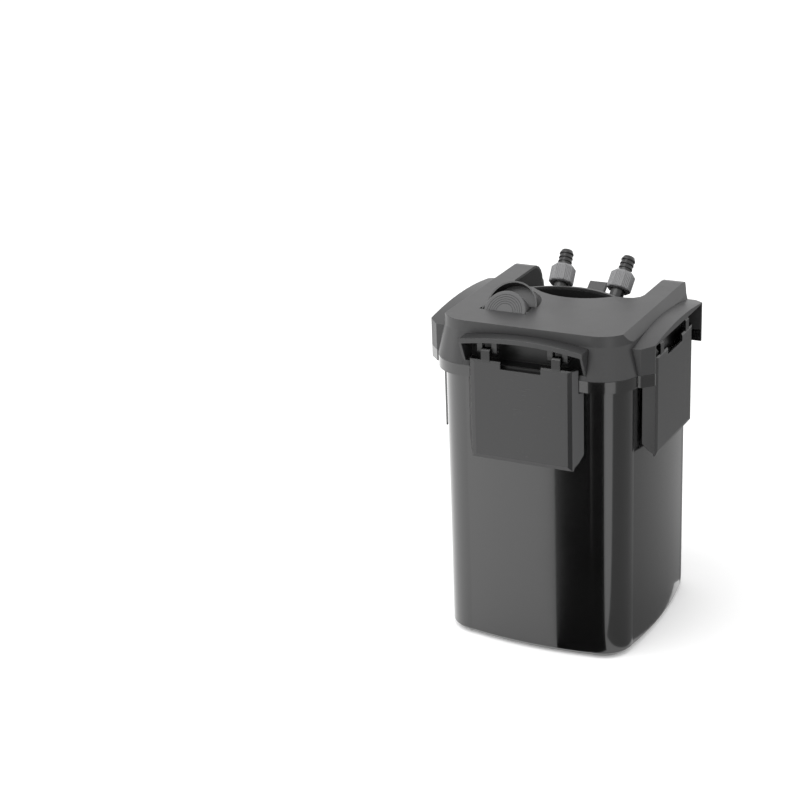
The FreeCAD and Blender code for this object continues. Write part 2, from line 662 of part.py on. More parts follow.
def make_pin_holes(which, radius):
    holes = []
    for low in (f"({LUG_NEAR} - 1)", f"-({LUG_FAR} + lug_thick + 1)"):
        holes.append(rod("pin_hole", radius, f"{LUG_FAR} + lug_thick + 2 - {LUG_NEAR}", (low, "0", "pivot_z"),
                         ALONG_X))
    return at_latch(which, group(f"{which}_pin_holes", holes))


def make_claws():
    """Two fixed claws behind, which hook under the rear of the canister's collar."""
    inside = "(collar_y + claw_gap)"
    outside = "(collar_y + claw_gap + claw_wall)"
    toe = "(collar_y - claw_reach)"
    low = f"({COLLAR_LOW} - claw_gap - claw_tall)"
    points = [
        ("collar_y - skin", HEAD_LOW), (inside, HEAD_LOW), (inside, f"{COLLAR_LOW} - claw_gap"),
        (toe, f"{COLLAR_LOW} - claw_gap"), (toe, low), (outside, low),
        (outside, "bay_floor - 1"), (f"{outside} - 1", "bay_floor"), ("collar_y - skin", "bay_floor"),
    ]
    claws = []
    for low_x in ("claw_mid - claw_half", "-(claw_mid + claw_half)"):
        claws.append(extrude("claw", outline("claw_outline", "YZ", points, low_x), "2 * claw_half"))
    return claws


def make_head_cover():
    """The head's skin with its screw bosses, rear claws and the boss of the cable gland."""
    outer = head_solid("head_outer", "0", "head_top", round_points)
    inner = head_solid("head_inner", "skin", "head_top - skin", corner_chords)
    bosses = [rod("boss", "boss_radius", "head_top - seam - flange_thick", (x, y, "seam + flange_thick"))
              for x, y in CORNERS]
    seat = drum("gland_boss", "gland_seat", "gland_in - 1",
                    ("gland_x", "gland_face - gland_in + 1", "gland_z"), ALONG_Y)
    shell = fuse("head_whole", cut("head_shell", outer, inner),
                 common("head_bosses", group("boss_set", bosses), outer), seat, *make_claws())
    hollows = [
        extrude("bay", outline("bay_outline", "XY", bay_points("0"), "bay_floor"), "head_top - seam"),
        scoop_tool("scoop"), visor_reach("visor_gap", "shell_gap"),
        knob_rod("well_gap", "knob_radius + knob_fit + well_wall + shell_gap", "-knob_face", WELL_END),
        knob_rod("hump_gap", "tube_out + shell_gap", "tube_front - shell_gap", "hump_long + shell_gap",
                 "tube_rise"),
        drum("gland_hole", "gland_radius + pin_fit", "2 * past", ("gland_x", "gland_face - past", "gland_z"),
             ALONG_Y),
    ]
    holes = [rod("boss_hole", "screw_radius + pin_press", "screw_long", (x, y, "seam")) for x, y in CORNERS]
    return node("head_cover", cut("head_skin", shell, *hollows, *holes))


def make_visor():
    """The hood over the front latch, with its floor, back wall and roof."""
    skirt = common("visor_skirt", head_solid("skirt_limit", "0", "head_top", round_points),
                   box("skirt_reach", "-visor_half", "visor_half", "-(collar_y + 1)", "-(bay_back - skin)",
                       HEAD_LOW, "bay_floor"))
    under = box("visor_under", "-visor_half - 1", "visor_half + 1", "-(collar_y - skin - flange_fit / 2)",
                "-(bay_back - skin - 1)", "seam - 1", "seam + flange_thick + head_gap")
    visor = cut("visor_open", fuse("visor_whole", visor_form(), skirt), visor_hollow(), under)
    carried = fuse("visor_with_lugs", visor, make_lugs("front"))
    return node("front_visor", cut("visor_drilled", carried,
                                   make_pin_holes("front", "pin_radius + pin_press")))


def make_knob_collar():
    """The knob's well, with the round pocket for the finger behind it and the hump over the pocket."""
    outer = head_solid("collar_limit", "0", "head_top", round_points)
    well = knob_rod("well_wall_rod", "knob_radius + knob_fit + well_wall", "0", WELL_END)
    tube = knob_rod("tube_inside", "tube_out", "tube_front", WELL_END, "tube_rise")
    hump = common("hump", knob_rod("hump_rod", "tube_out", "tube_front", "hump_long", "tube_rise"),
                  box("above_skin", "knob_x - 2 * past", "knob_x + 2 * past", "knob_y - past",
                      "knob_y + 4 * past",
                      "head_top - skin", "head_top + 3 * past"))
    bores = [
        knob_rod("knob_bore", "knob_radius + knob_fit", "-1", "well_deep"),
        knob_rod("finger_bore", "tube_out - tube_wall", "tube_front - 1", "well_deep", "tube_rise"),
        knob_rod("hump_hollow", "tube_out - skin", WELL_END, "hump_long - skin", "tube_rise"),
        knob_rod("stem_hole", "stem_radius + stem_fit", "well_deep - 1", f"{WELL_END} + 1"),
    ]
    inside = common("collar_inside", fuse("collar_rods", well, tube), outer)
    return node("knob_collar", cut("collar_bored", fuse("collar_whole", inside, hump), *bores))


def make_tap_bay():
    """The bay for the tap set and the bowl of the finger scoop, hung under the head's skin."""
    low = "(seam + flange_thick + head_gap)"
    walls = extrude("bay_wall", outline("bay_wall_outline", "XY", bay_points("skin"), low), "head_top - seam")
    bowl_side = [
        ("scoop_near", "head_top"), ("scoop_near", "head_top - 2 * skin"), ("bay_front + skin", "scoop_low"),
        ("scoop_y + scoop_rim + skin", "scoop_low"), ("scoop_y + scoop_rim + skin", "head_top"),
    ]
    bowl = common("bowl", cylinder("bowl_drum", "scoop_rim + skin", "head_top - scoop_low",
                                   ("0", "scoop_y", "scoop_low")),
                  extrude("bowl_side", outline("bowl_outline", "YZ", bowl_side), "2 * scoop_half", both=True))
    limit = head_solid("bay_limit", "(skin + shell_gap)", "head_top - skin - shell_gap", corner_chords)
    tools = [
        extrude("bay_space", outline("bay_space_outline", "XY", bay_points("0"), "bay_floor"),
                "head_top - seam"),
        scoop_tool("bowl_hollow"),
        box("tap_opening", "-(block_half + tap_gap)", "block_half + tap_gap", "opening_front",
            "foot_back + tap_gap",
            "seam", "bay_floor + 1"),
    ]
    return node("tap_bay", cut("bay_open", common("bay_form", fuse("bay_whole", walls, bowl), limit), *tools))


# latches and their pins
def make_latch(which):
    """A latch in its own frame: outward is -Y and the pin's axis runs along X through Y = 0."""
    face = "-latch_out"
    inside = "(latch_wall - latch_out)"
    back = "(latch_deep - latch_out)"
    flared = "(latch_half + latch_flare)"
    bevel_x = "(latch_half + latch_bevel_deep * latch_flare / latch_deep)"
    bevel_y = "(latch_bevel_deep - latch_out)"
    inner_half = "(latch_half - latch_wall * 0.5)"
    section = [
        (flared, back), (f"{flared} - latch_lip", back), (inner_half, inside), ("-" + inner_half, inside),
        (f"-({flared} - latch_lip)", back), ("-" + flared, back), ("-" + bevel_x, bevel_y),
        ("-(latch_half - latch_bevel)", face), ("latch_half - latch_bevel", face), (bevel_x, bevel_y),
    ]
    plate = extrude(f"{which}_plate", outline("latch_section", "XY", section, "latch_low"),
                    "latch_high - latch_low")
    trims = [
        [(f"{inside} - 0.5", "latch_low - 1"), (f"{back} + 1", "latch_low - 1"),
         (f"{back} + 1", "latch_low + relief_high"),
         (f"({inside} + {back}) / 2", "latch_low + relief_mid"), (inside, "latch_low + relief_low")],
        box_points("-latch_clear", f"{back} + 1", "latch_step", "latch_high + 1"),
        [(f"{face} - 1", "latch_low - 1"), (bevel_y, "latch_low - 1"), (bevel_y, "latch_low"),
         (face, "latch_low + latch_bevel"), (f"{face} - 1", "latch_low + latch_bevel")],
        [(f"{face} - 1", "latch_high + 1"), (f"{face} - 1", "latch_high - latch_bevel / 2"),
         (face, "latch_high - latch_bevel / 2"), (bevel_y, "latch_high"), (bevel_y, "latch_high + 1")],
    ]
    tools = [extrude("latch_trim", outline("latch_trim_outline", "YZ", points), "4 * latch_half", both=True)
             for points in trims]
    tools.append(box("latch_notch", "-notch_half", "notch_half", f"{face} - 1", f"{inside} + 1",
                     "latch_high - notch_deep", "latch_high + 1"))
    edge = "(ear_radius * cos(45))"
    ear = [
        ("ear_inset - latch_out", "latch_high - ear_root"), (inside, "latch_high - ear_root"),
        (inside, "pivot_z - ear_radius - ear_bevel"), (f"-{edge}", f"pivot_z - {edge}"),
        ("0", "pivot_z - ear_radius"),
        (edge, f"pivot_z - {edge}"), ("ear_radius", "pivot_z"), (edge, f"pivot_z + {edge}"),
        ("0", "pivot_z + ear_radius"),
        ("ear_inset + ear_bevel - latch_out", "pivot_z + ear_radius"),
        ("ear_inset - latch_out", "pivot_z + ear_radius - ear_bevel"),
    ]
    ears = [extrude("ear", outline("ear_outline", "YZ", ear, low), "2 * ear_half")
            for low in ("ear_mid - ear_half", "-(ear_mid + ear_half)")]
    hook_top = f"({COLLAR_LOW} - catch_gap)"
    hook = [
        (f"{inside} - 0.5", f"{hook_top} - hook_thick - hook_tall"),
        ("-hook_reach", f"{hook_top} - hook_thick"),
        ("-hook_reach", hook_top), (f"{inside} - 0.5", hook_top),
    ]
    hook = extrude("hook", outline("hook_outline", "YZ", hook), "2 * hook_half", both=True)
    hole = rod("ear_hole", f"pin_radius / {ROD_SHARE} + pin_fit", "3 * ear_mid",
               ("-1.5 * ear_mid", "0", "pivot_z"), ALONG_X)
    whole = fuse(f"{which}_whole", cut(f"{which}_trimmed", plate, *tools), hook, *ears)
    return node(f"{which}_latch", at_latch(which, cut(f"{which}_drilled", whole, hole)))


def make_pins():
    pins = []
    for which in LATCHES:
        pair = [rod("pin", "pin_radius", f"{LUG_FAR} + lug_thick - {LUG_NEAR}", (low, "0", "pivot_z"),
                    ALONG_X)
                for low in (LUG_NEAR, f"-({LUG_FAR} + lug_thick)")]
        pins.append(at_latch(which, group(f"{which}_pins", pair)))
    return node("latch_pins", group("pins", pins))


# head base, gasket and screws
MOUTH_X = "(half_width - wall - plug_fit)"
MOUTH_Y = "(half_depth - wall - plug_fit)"
PLUG_LOW = "(seam - plug_deep)"
GROOVE_LOW = f"({PLUG_LOW} + groove_low)"
VOLUTE_LOW = f"({PLUG_LOW} - volute_deep)"
DUCT_RUN = "sqrt((port_x + tube_x) ^ 2 + (tube_y - port_y) ^ 2)"
DUCT_ANGLE = math.degrees(math.atan2(size("tube_y - port_y"), size("port_x + tube_x")))
COVER_SPOTS = [(f"pump_x + cover_ring * cos({angle})", f"pump_y + cover_ring * sin({angle})")
               for angle in (45, 135, 225, 315)]


def plug_ring(name, inset, low, tall):
    points = corner_chords(f"({MOUTH_X} - ({inset}))", f"({MOUTH_Y} - ({inset}))",
                           f"(corner - wall - plug_fit - ({inset}))", "bow")
    return extrude(name, outline(name + "_outline", "XY", points, low), tall)


def corner_duct(name, inset, low, high):
    """The duct that leads from the left port to the intake tube's corner."""
    made = DOC.addObject("Part::Box", name)
    bind(made, Length=f"{DUCT_RUN} + duct_wide - 2 * ({inset})", Width=f"duct_wide - 2 * ({inset})",
         Height=f"({high}) - ({low})")
    along = FreeCAD.Rotation(V(0, 0, 1), DUCT_ANGLE)
    back = size(f"duct_wide / 2 - ({inset})")
    start = V(size("-port_x"), size("port_y"), size(low)) - along.multVec(V(back, back, 0))
    made.Placement = FreeCAD.Placement(start, along)
    return made


def make_head_base():
    groove = cut("groove", plug_ring("groove_outer", "-2 * groove_deep", GROOVE_LOW, "groove_tall"),
                 plug_ring("groove_inner", "groove_deep", f"({GROOVE_LOW} - 1)", "groove_tall + 2"))
    flange = extrude("flange", outline("flange_outline", "XY",
        corner_chords("(collar_x - skin - flange_fit)", "(collar_y - skin - flange_fit)",
                      "(collar_corner - skin)"),
        "seam"), "flange_thick")
    can = drum("can", "magnet_radius + rotor_gap + can_wall", f"can_top + can_wall - {PLUG_LOW}",
                   ("pump_x", "pump_y", PLUG_LOW))
    volute = drum("volute", "volute_radius", "volute_deep + plug_deep + 1", ("pump_x", "pump_y", VOLUTE_LOW))
    straight = box("outlet_duct", "port_x - duct_wide / 2", "port_x + duct_wide / 2",
                   "pump_y + chamber_radius",
                   "port_y + duct_wide / 2", "duct_low", "seam + 1")
    corner_run = common("intake_duct", corner_duct("intake_duct_solid", "0", "duct_low", "seam + 1"),
                        plug_ring("duct_limit", "0", "duct_low", "seam - duct_low + 1"))
    plug = cut("plug_wall", plug_ring("plug", "0", PLUG_LOW, "plug_deep"),
               plug_ring("plug_hollow", "groove_deep + skin", f"({PLUG_LOW} - 1)", "plug_deep + 1"))
    bosses = [rod("screw_boss", "screw_head + screw_fit + screw_wall", "plug_deep", (x, y, PLUG_LOW)) for x,
              y in CORNERS]
    solid = fuse("base_solid", plug, flange, can, volute, straight, corner_run, *bosses)
    channel = ("duct_low + duct_wall", f"{PLUG_LOW} - 1")
    port_holes = [drum("port_hole", "port_out + port_fit", "seam + flange_thick + 1 - duct_low - duct_wall",
                           (f"port_x * {side}", "port_y", "duct_low + duct_wall")) for side in (-1, 1)]
    tools = [
        groove, *port_holes,
        drum("rotor_space", "magnet_radius + rotor_gap", f"can_top - {PLUG_LOW} + 1",
                 ("pump_x", "pump_y", f"{PLUG_LOW} - 1")),
        drum("chamber", "chamber_radius", "volute_deep + 1", ("pump_x", "pump_y", f"{VOLUTE_LOW} - 1")),
        box("outlet_channel", "port_x - duct_wide / 2 + duct_wall", "port_x + duct_wide / 2 - duct_wall",
            "pump_y + chamber_radius - outlet_in", "port_y + duct_wide / 2 - duct_wall", *channel),
        corner_duct("intake_channel", "duct_wall", *channel),
        drum("tube_hole", "tube_radius + tube_fit", "duct_wall + 2", ("tube_x", "tube_y", "duct_low - 1")),
        rod("nipple_hole", "tip_radius + screw_fit", "2 * past", ("knob_x", "nipple_y", "seam - past")),
    ]
    for x, y in COVER_SPOTS:
        tools.append(rod("cover_screw_hole", "cover_screw + pin_press", "cover_screw_long",
                         (x, y, f"{VOLUTE_LOW} - 1")))
    for x, y in CORNERS:
        tools.append(rod("screw_hole", "screw_radius + screw_fit", "2 * past", (x, y, "seam - past")))
        tools.append(rod("screw_sink", "screw_head + screw_fit", "screw_head_tall + 1",
                         (x, y, f"{PLUG_LOW} - 1")))
    return node("head_base", cut("base_cut", solid, *tools))


def make_gasket():
    ring = cut("gasket_ring",
               plug_ring("gasket_outer", "gasket_fit - plug_fit", f"({GROOVE_LOW} + gasket_fit)",
                         "groove_tall - 2 * gasket_fit"),
               plug_ring("gasket_inner", "groove_deep - gasket_fit", f"({GROOVE_LOW} - 1)",
                         "groove_tall + 2"))
    return node("head_gasket", ring)


def make_screw(name, x, y, low):
    head = rod(name + "_head", "screw_head", "screw_head_tall", (x, y, low))
    shank = rod(name + "_shank", "screw_radius", "screw_long - 1", (x, y, low))
    return fuse(name, head, shank)


def make_head_screws():
    return node("head_screws", group("screws", [make_screw("screw", x, y, PLUG_LOW) for x, y in CORNERS]))


# priming knob, piston, seal, barrel and spring
PISTON_TOP = "(-(well_deep + well_wall + piston_gap))"


def make_knob():
    body = new_body("knob_body")
    edge = PISTON_TOP
    points = [
        ("0", f"{edge} - piston_thick"), ("tip_radius", f"{edge} - piston_thick"), ("tip_radius", edge),
        ("stem_radius", edge), ("stem_radius", "-knob_face"), ("knob_radius - knob_skirt", "-knob_face"),
        ("knob_radius - knob_skirt", "-knob_tall"), ("knob_radius", "-knob_tall"),
        ("knob_radius", "-knob_edge"),
        ("knob_radius - knob_edge", "0"), ("0", "0"),
    ]
    sketch = body_sketch(body, "knob_outline", "XZ", points)
    body_turn(body, "knob_form", "Revolution", sketch)
    return node("priming_knob", knob_place(body))


def make_piston():
    """A piston with its seal under a shoulder."""
    outer = f"(barrel_bore * {DRUM_SHARE} - piston_fit)"
    low = f"({PISTON_TOP} - piston_thick)"
    wide = drum("piston_wide", outer, "piston_thick - seal_tall - seal_fit",
                ("0", "0", f"{low} + seal_tall + seal_fit"))
    neck = drum("piston_neck", f"{outer} - seal_deep", "piston_thick", ("0", "0", low))
    bore = cylinder("piston_bore", "tip_radius + pin_press", "piston_thick + 2", ("0", "0", f"{low} - 1"))
    node("priming_piston", knob_place(group("piston_set",
                                            [cut("piston", fuse("piston_whole", wide, neck), bore)])))
    ring = sealing_ring("seal", f"barrel_bore * {DRUM_SHARE} - seal_fit", f"{outer} - seal_deep + seal_fit",
                        "seal_tall", low)
    node("piston_seal", knob_place(group("seal_set", [ring])))


def make_barrel():
    top = "(-(well_deep + well_wall))"
    low = f"({top} - barrel_long)"
    outside = drum("barrel_outside", "barrel_bore + barrel_wall", "barrel_long", ("0", "0", low))
    bore = drum("barrel_space", "barrel_bore", "barrel_long - barrel_wall + 1",
                ("0", "0", f"{low} + barrel_wall"))
    drain = rod("priming_drain", "drain_radius", "barrel_wall + 2", ("0", "0", f"{low} - 1"))
    tube = knob_place(group("barrel_set", [cut("barrel_tube", outside, bore, drain)]))
    outlet = rod("priming_outlet", "tip_radius", "outlet_long", ("knob_x", "nipple_y", "seam - outlet_sink"))
    node("priming_barrel", fuse("barrel", tube, outlet))


def make_spring():
    """A coil of four-sided wire, ruled between eight sections a turn."""
    long = "(well_deep - knob_face - 2 * spring_wire - 2 * spring_end)"
    sections = []
    for count in range(int(size("spring_turns")) * COIL_STEPS + 1):
        angle = 360 * count / COIL_STEPS
        ring = DOC.addObject("Part::RegularPolygon", "spring_section")
        ring.Polygon = WIRE_SIDES
        bind(ring, Circumradius="spring_wire")
        at = (f"spring_radius * cos({angle})", f"spring_radius * sin({angle})",
              f"{long} * {count} / (spring_turns * {COIL_STEPS})")
        turn = FreeCAD.Rotation(V(0, 0, 1), angle).multiply(FreeCAD.Rotation(V(1, 0, 0), -90))
        sections.append(put(ring, at, turn))
    return node("priming_spring", knob_place(loft("spring_coil", sections), "0",
                                             "well_deep - spring_wire - spring_end"))


# pump
def make_motor():
    block = box("motor_solid", "pump_x - motor_x / 2", "pump_x + motor_x / 2", "pump_y - motor_y / 2",
                "pump_y + motor_y / 2", "seam + flange_thick", "seam + flange_thick + motor_tall")
    bore = drum("motor_bore", "magnet_radius + rotor_gap + can_wall + motor_fit",
                "can_top + can_wall + motor_fit - seam",
                    ("pump_x", "pump_y", "seam"))
    return node("motor_block", cut("motor", block, bore))


def make_rotor():
    here = ("pump_x", "pump_y", "magnet_low")
    magnet = drum("magnet", "magnet_radius", "magnet_tall", here)
    magnet_bore = rod("magnet_bore", f"shaft_radius / {ROD_SHARE} + shaft_fit", "magnet_tall + 2",
                      ("pump_x", "pump_y", "magnet_low - 1"))
    node("rotor_magnet", cut("magnet_ring", magnet, magnet_bore))
    at = ("pump_x", "pump_y", "impeller_low")
    hub = drum("impeller_hub", "hub_wide", "magnet_low - impeller_low", at)
    disc = drum("impeller_disc", "impeller_radius", "disc_thick",
                ("pump_x", "pump_y", "impeller_low + impeller_tall - disc_thick"))
    blades = []
    for count in range(BLADES):
        blade = box("blade", "hub_wide - 1", "impeller_radius - 0.5", "-blade_wall / 2", "blade_wall / 2", "0",
                    "impeller_tall - 1")
        blades.append(put(blade, at, FreeCAD.Rotation(V(0, 0, 1), 360 * count / BLADES)))
    bore = rod("impeller_bore", f"shaft_radius / {ROD_SHARE} + shaft_fit", "magnet_low - impeller_low + 2",
               ("pump_x", "pump_y", "impeller_low - 1"))
    node("impeller", cut("impeller_form", fuse("impeller_solid", hub, disc, *blades), bore))


def make_shaft():
    low = f"({VOLUTE_LOW} - cover_thick + 1)"
    node("impeller_shaft", rod("shaft", "shaft_radius", f"can_top - 1 - {low}", ("pump_x", "pump_y", low)))
    bushes = []
    for name, at in (("lower_bush", f"{VOLUTE_LOW} - bush_long / 2"), ("upper_bush", "can_top - bush_long")):
        whole = rod(name, "bush_radius", "bush_long", ("pump_x", "pump_y", at))
        bore = rod(name + "_bore", "shaft_radius + pin_press", "bush_long + 2",
                   ("pump_x", "pump_y", f"{at} - 1"))
        bushes.append(cut(name + "_open", whole, bore))
    node("shaft_bushes", group("bushes", bushes))


def make_pump_cover():
    low = f"({VOLUTE_LOW} - cover_thick)"
    here = ("pump_x", "pump_y", f"{low} - 1")
    disc = drum("cover_disc", "volute_radius", "cover_thick", ("pump_x", "pump_y", low))
    boss_radius = "bush_radius + bush_wall"
    spokes = [put(box("inlet_spoke", "0", "inlet_radius + 1", "-1", "1", "0", "cover_thick + 2"), here,
                  FreeCAD.Rotation(V(0, 0, 1), 360 * count / SPOKES)) for count in range(SPOKES)]
    inlet = cut("inlet_ring", drum("inlet_hole", "inlet_radius", "cover_thick + 2", here),
                rod("inlet_boss", boss_radius, "cover_thick + 2", here), *spokes)
    bush_seat = rod("bush_seat", "bush_radius + pin_press", "bush_long",
                    ("pump_x", "pump_y", f"{VOLUTE_LOW} - bush_long / 2"))
    shaft_seat = rod("shaft_seat", "shaft_radius + pin_press", "cover_thick + 2",
                     ("pump_x", "pump_y", f"{low} + 1"))
    holes = [rod("cover_hole", "cover_screw + screw_fit", "cover_thick + 2", (x, y, f"{low} - 1"))
             for x, y in COVER_SPOTS]
    node("pump_cover", cut("cover", disc, inlet, bush_seat, shaft_seat, *holes))
    screws = []
    for x, y in COVER_SPOTS:
        head = rod("cover_screw_head", "2 * cover_screw", "cover_head_tall",
                   (x, y, f"{low} - cover_head_tall"))
        shank = rod("cover_screw_shank", "cover_screw", "cover_screw_long", (x, y, f"{low} - 1"))
        screws.append(fuse("cover_screw", head, shank))
    node("pump_cover_screws", group("cover_screws", screws))


# intake tube and its seal
def make_intake():
    """The down tube, with its seal on a reduced end in the duct's floor."""
    top = "(duct_low + duct_wall)"
    neck = "(tube_radius - tube_step)"
    shoulder = f"({top} - seal_tall - seal_fit)"
    wide = drum("tube_wide", "tube_radius", f"{shoulder} - tube_low", ("tube_x", "tube_y", "tube_low"))
    end = drum("tube_neck", neck, f"{top} - tube_low", ("tube_x", "tube_y", "tube_low"))
    bore = drum("tube_space", "tube_bore", f"{top} - tube_low + 2", ("tube_x", "tube_y", "tube_low - 1"))
    slots = [put(box("tube_slot", "-tube_radius - 1", "tube_radius + 1", "-tube_slot", "tube_slot", "0",
                     "tube_slot_tall"),
                 ("tube_x", "tube_y", "tube_low - 1"),
                 FreeCAD.Rotation(V(0, 0, 1), 90 * count)) for count in range(2)]
    node("intake_tube", cut("tube_open", fuse("tube_whole", wide, end), bore, *slots))
    ring = sealing_ring("tube_ring", f"(tube_radius + tube_fit) * {DRUM_SHARE}", f"{neck} + seal_fit",
                        "seal_tall",
                        f"{top} - seal_tall")
    node("tube_seal", put(group("tube_ring_set", [ring]), ("tube_x", "tube_y", "0")))


# tap set
SIDES = (("left", -1), ("right", 1))


def spigot_turn(side):
    return FreeCAD.Rotation(V(1, 0, 0),
                            -size("lean")).multiply(FreeCAD.Rotation(V(0, 1, 0), size("splay") * side))


def along_spigot(made, side, far="0"):
    """Places an object on a spigot's axis, far above the nut's lower end."""
    at = (f"({side}) * (spigot_x + ({far}) * sin(splay))", f"spigot_y + ({far}) * cos(splay) * sin(lean)",
          f"spigot_z + ({far}) * cos(splay) * cos(lean)")
    return put(made, at, spigot_turn(side))


PLUG_X = "(spigot_x - plug_back * sin(splay))"
PLUG_Y = "(spigot_y - plug_back * cos(splay) * sin(lean))"
PLUG_Z = "(spigot_z - plug_back * cos(splay) * cos(lean))"
BLOCK_LOW = "(seam + flange_thick)"


def at_plug(name, radius, half, side):
    """A drum about a valve plug's centre, along the lever's axis."""
    return drum(name, radius, f"2 * ({half})", (f"{side} * {PLUG_X} - ({half})", PLUG_Y, PLUG_Z), ALONG_X)


def make_tap_block():
    upper = [
        box("block_plate", "-block_half", "block_half", "bridge_front", "foot_back", BLOCK_LOW,
            f"{BLOCK_LOW} + block_foot"),
        box("block_bridge", f"-{PLUG_X}", PLUG_X, "bridge_front", "bridge_back", BLOCK_LOW, "bridge_top"),
    ]
    tubes = []
    hollows = [box("lever_slot", "lever_x - lever_wide / 2 - slot_gap", "lever_x + lever_wide / 2 + slot_gap",
                   "bridge_front - past", "bridge_back + past", "slot_floor", "bridge_top + 1"),
               cylinder("spindle_hole", "spindle_radius + spindle_fit", f"2 * {PLUG_X}",
                        (f"-{PLUG_X}", PLUG_Y, PLUG_Z), ALONG_X)]
    for name, side in SIDES:
        port = (f"{side} * port_x", "port_y")
        upper += [
            along_spigot(drum("housing", "house_radius", "house_long"), side, "-plug_back"),
            at_plug("plug_case", "house_radius", "plug_half + plug_gap + case_wall", side),
            box("house_leg", f"{side} * port_x - port_out - leg_wall",
                f"{side} * port_x + port_out + leg_wall",
                "leg_front", "port_y + port_out", BLOCK_LOW, PLUG_Z),
        ]
        tubes += [
            drum("port_tube", "port_out", "port_deep - port_step",
                 (*port, f"{BLOCK_LOW} - port_deep + port_step")),
            drum("port_end", "port_out - seal_deep", "port_step + 1", (*port, f"{BLOCK_LOW} - port_deep")),
        ]
        hollows += [
            at_plug("plug_space", "plug_radius + plug_gap", "plug_half + plug_gap", side),
            along_spigot(rod("seat_bore", "seat_radius + seat_fit", "seat_near + seat_fit + 1",
                             sides=RING_SIDES), side, "-plug_back"),
            along_spigot(cylinder("collar_bore", "collar_radius + seat_fit", "house_long - seat_near + 1"),
                         side,
                         "seat_near - seat_fit - plug_back"),
            drum("port_channel", "port_bore", f"port_deep + {PLUG_Z} - {BLOCK_LOW}",
                 (*port, f"{BLOCK_LOW} - port_deep - 1")),
        ]
    below = box("below_block", "-block_half - past", "block_half + past", "0", "foot_back + past",
                "seam - 3 * past", BLOCK_LOW)
    housings = cut("block_housings", fuse("block_upper", *upper), below)
    node("tap_block", cut("block", fuse("block_whole", housings, *tubes), *hollows))
    rings = []
    for name, side in SIDES:
        ring = sealing_ring("port_ring", f"(port_out + port_fit) * {DRUM_SHARE}",
                            "port_out - seal_deep + seal_fit", "seal_tall",
                            f"{BLOCK_LOW} - port_deep + port_step - seal_fit - seal_tall")
        rings.append(put(group("port_ring_set", [ring]), (f"{side} * port_x", "port_y", "0")))
    node("port_seals", group("port_rings", rings))


def make_plugs():
    """Two cylindrical valve plugs, bored across, and the seats that the spigots press on them."""
    plugs = []
    seats = []
    for name, side in SIDES:
        bore = along_spigot(cylinder("plug_bore_rod", "plug_bore", "4 * plug_radius"), side,
                            "-plug_back - 2 * plug_radius")
        near = f"({PLUG_X} - plug_half - 1)"
        far = f"({PLUG_X} - tang_in + tang_clear)"
        ends = (near, far) if side > 0 else (f"-{far}", f"-{near}")
        slot = box("tang_slot", *ends, f"{PLUG_Y} - plug_radius", f"{PLUG_Y} + plug_radius",
                   f"{PLUG_Z} - tang_half - tang_fit", f"{PLUG_Z} + tang_half + tang_fit")
        plugs.append(cut("plug", at_plug("plug_solid", "plug_radius", "plug_half", side), bore, slot))
        ring = sealing_ring("seat_ring", "seat_radius", "plug_bore + seat_fit",
                            "seat_near - seat_low + seat_thick")
        saddle = at_plug("seat_saddle", "plug_radius + seat_fit", "2 * plug_half", side)
        seats.append(cut("seat", along_spigot(group("seat_set", [ring]), side, "seat_low - plug_back"),
                         saddle))
    node("valve_plugs", group("plugs", plugs))
    node("plug_seats", group("seats", seats))


def make_lever():
    middle = ("lever_x - lever_wide / 2", PLUG_Y, PLUG_Z)
    hub = cylinder("lever_hub", "hub_radius", "lever_wide", middle, ALONG_X)
    tab = [
        ("-lever_thick / 2", "0"), ("lever_thick / 2", "0"), ("lever_thick / 2", "lever_long - lever_edge"),
        ("lever_thick / 2 - lever_edge", "lever_long"), ("lever_edge - lever_thick / 2", "lever_long"),
        ("-lever_thick / 2", "lever_long - lever_edge"),
    ]
    blade = put(extrude("lever_tab", outline("tab_outline", "YZ", tab), "lever_wide"), middle,
                FreeCAD.Rotation(V(1, 0, 0), -size("lever_lean")))
    end = f"({PLUG_X} - plug_half - tang_fit)"
    spindle = cylinder("spindle", "spindle_radius", f"2 * {end}", (f"-{end}", PLUG_Y, PLUG_Z), ALONG_X)
    tang_end = f"({PLUG_X} - tang_in)"
    tang_rod = cylinder("tang_rod", "spindle_radius", f"2 * {tang_end}", (f"-{tang_end}", PLUG_Y, PLUG_Z),
                        ALONG_X)
    tang_flat = box("tang_flat", f"-{tang_end}", tang_end, f"{PLUG_Y} - hub_radius", f"{PLUG_Y} + hub_radius",
                    f"{PLUG_Z} - tang_half", f"{PLUG_Z} + tang_half")
    return node("tap_lever", fuse("lever", hub, blade, spindle, common("tangs", tang_rod, tang_flat)))


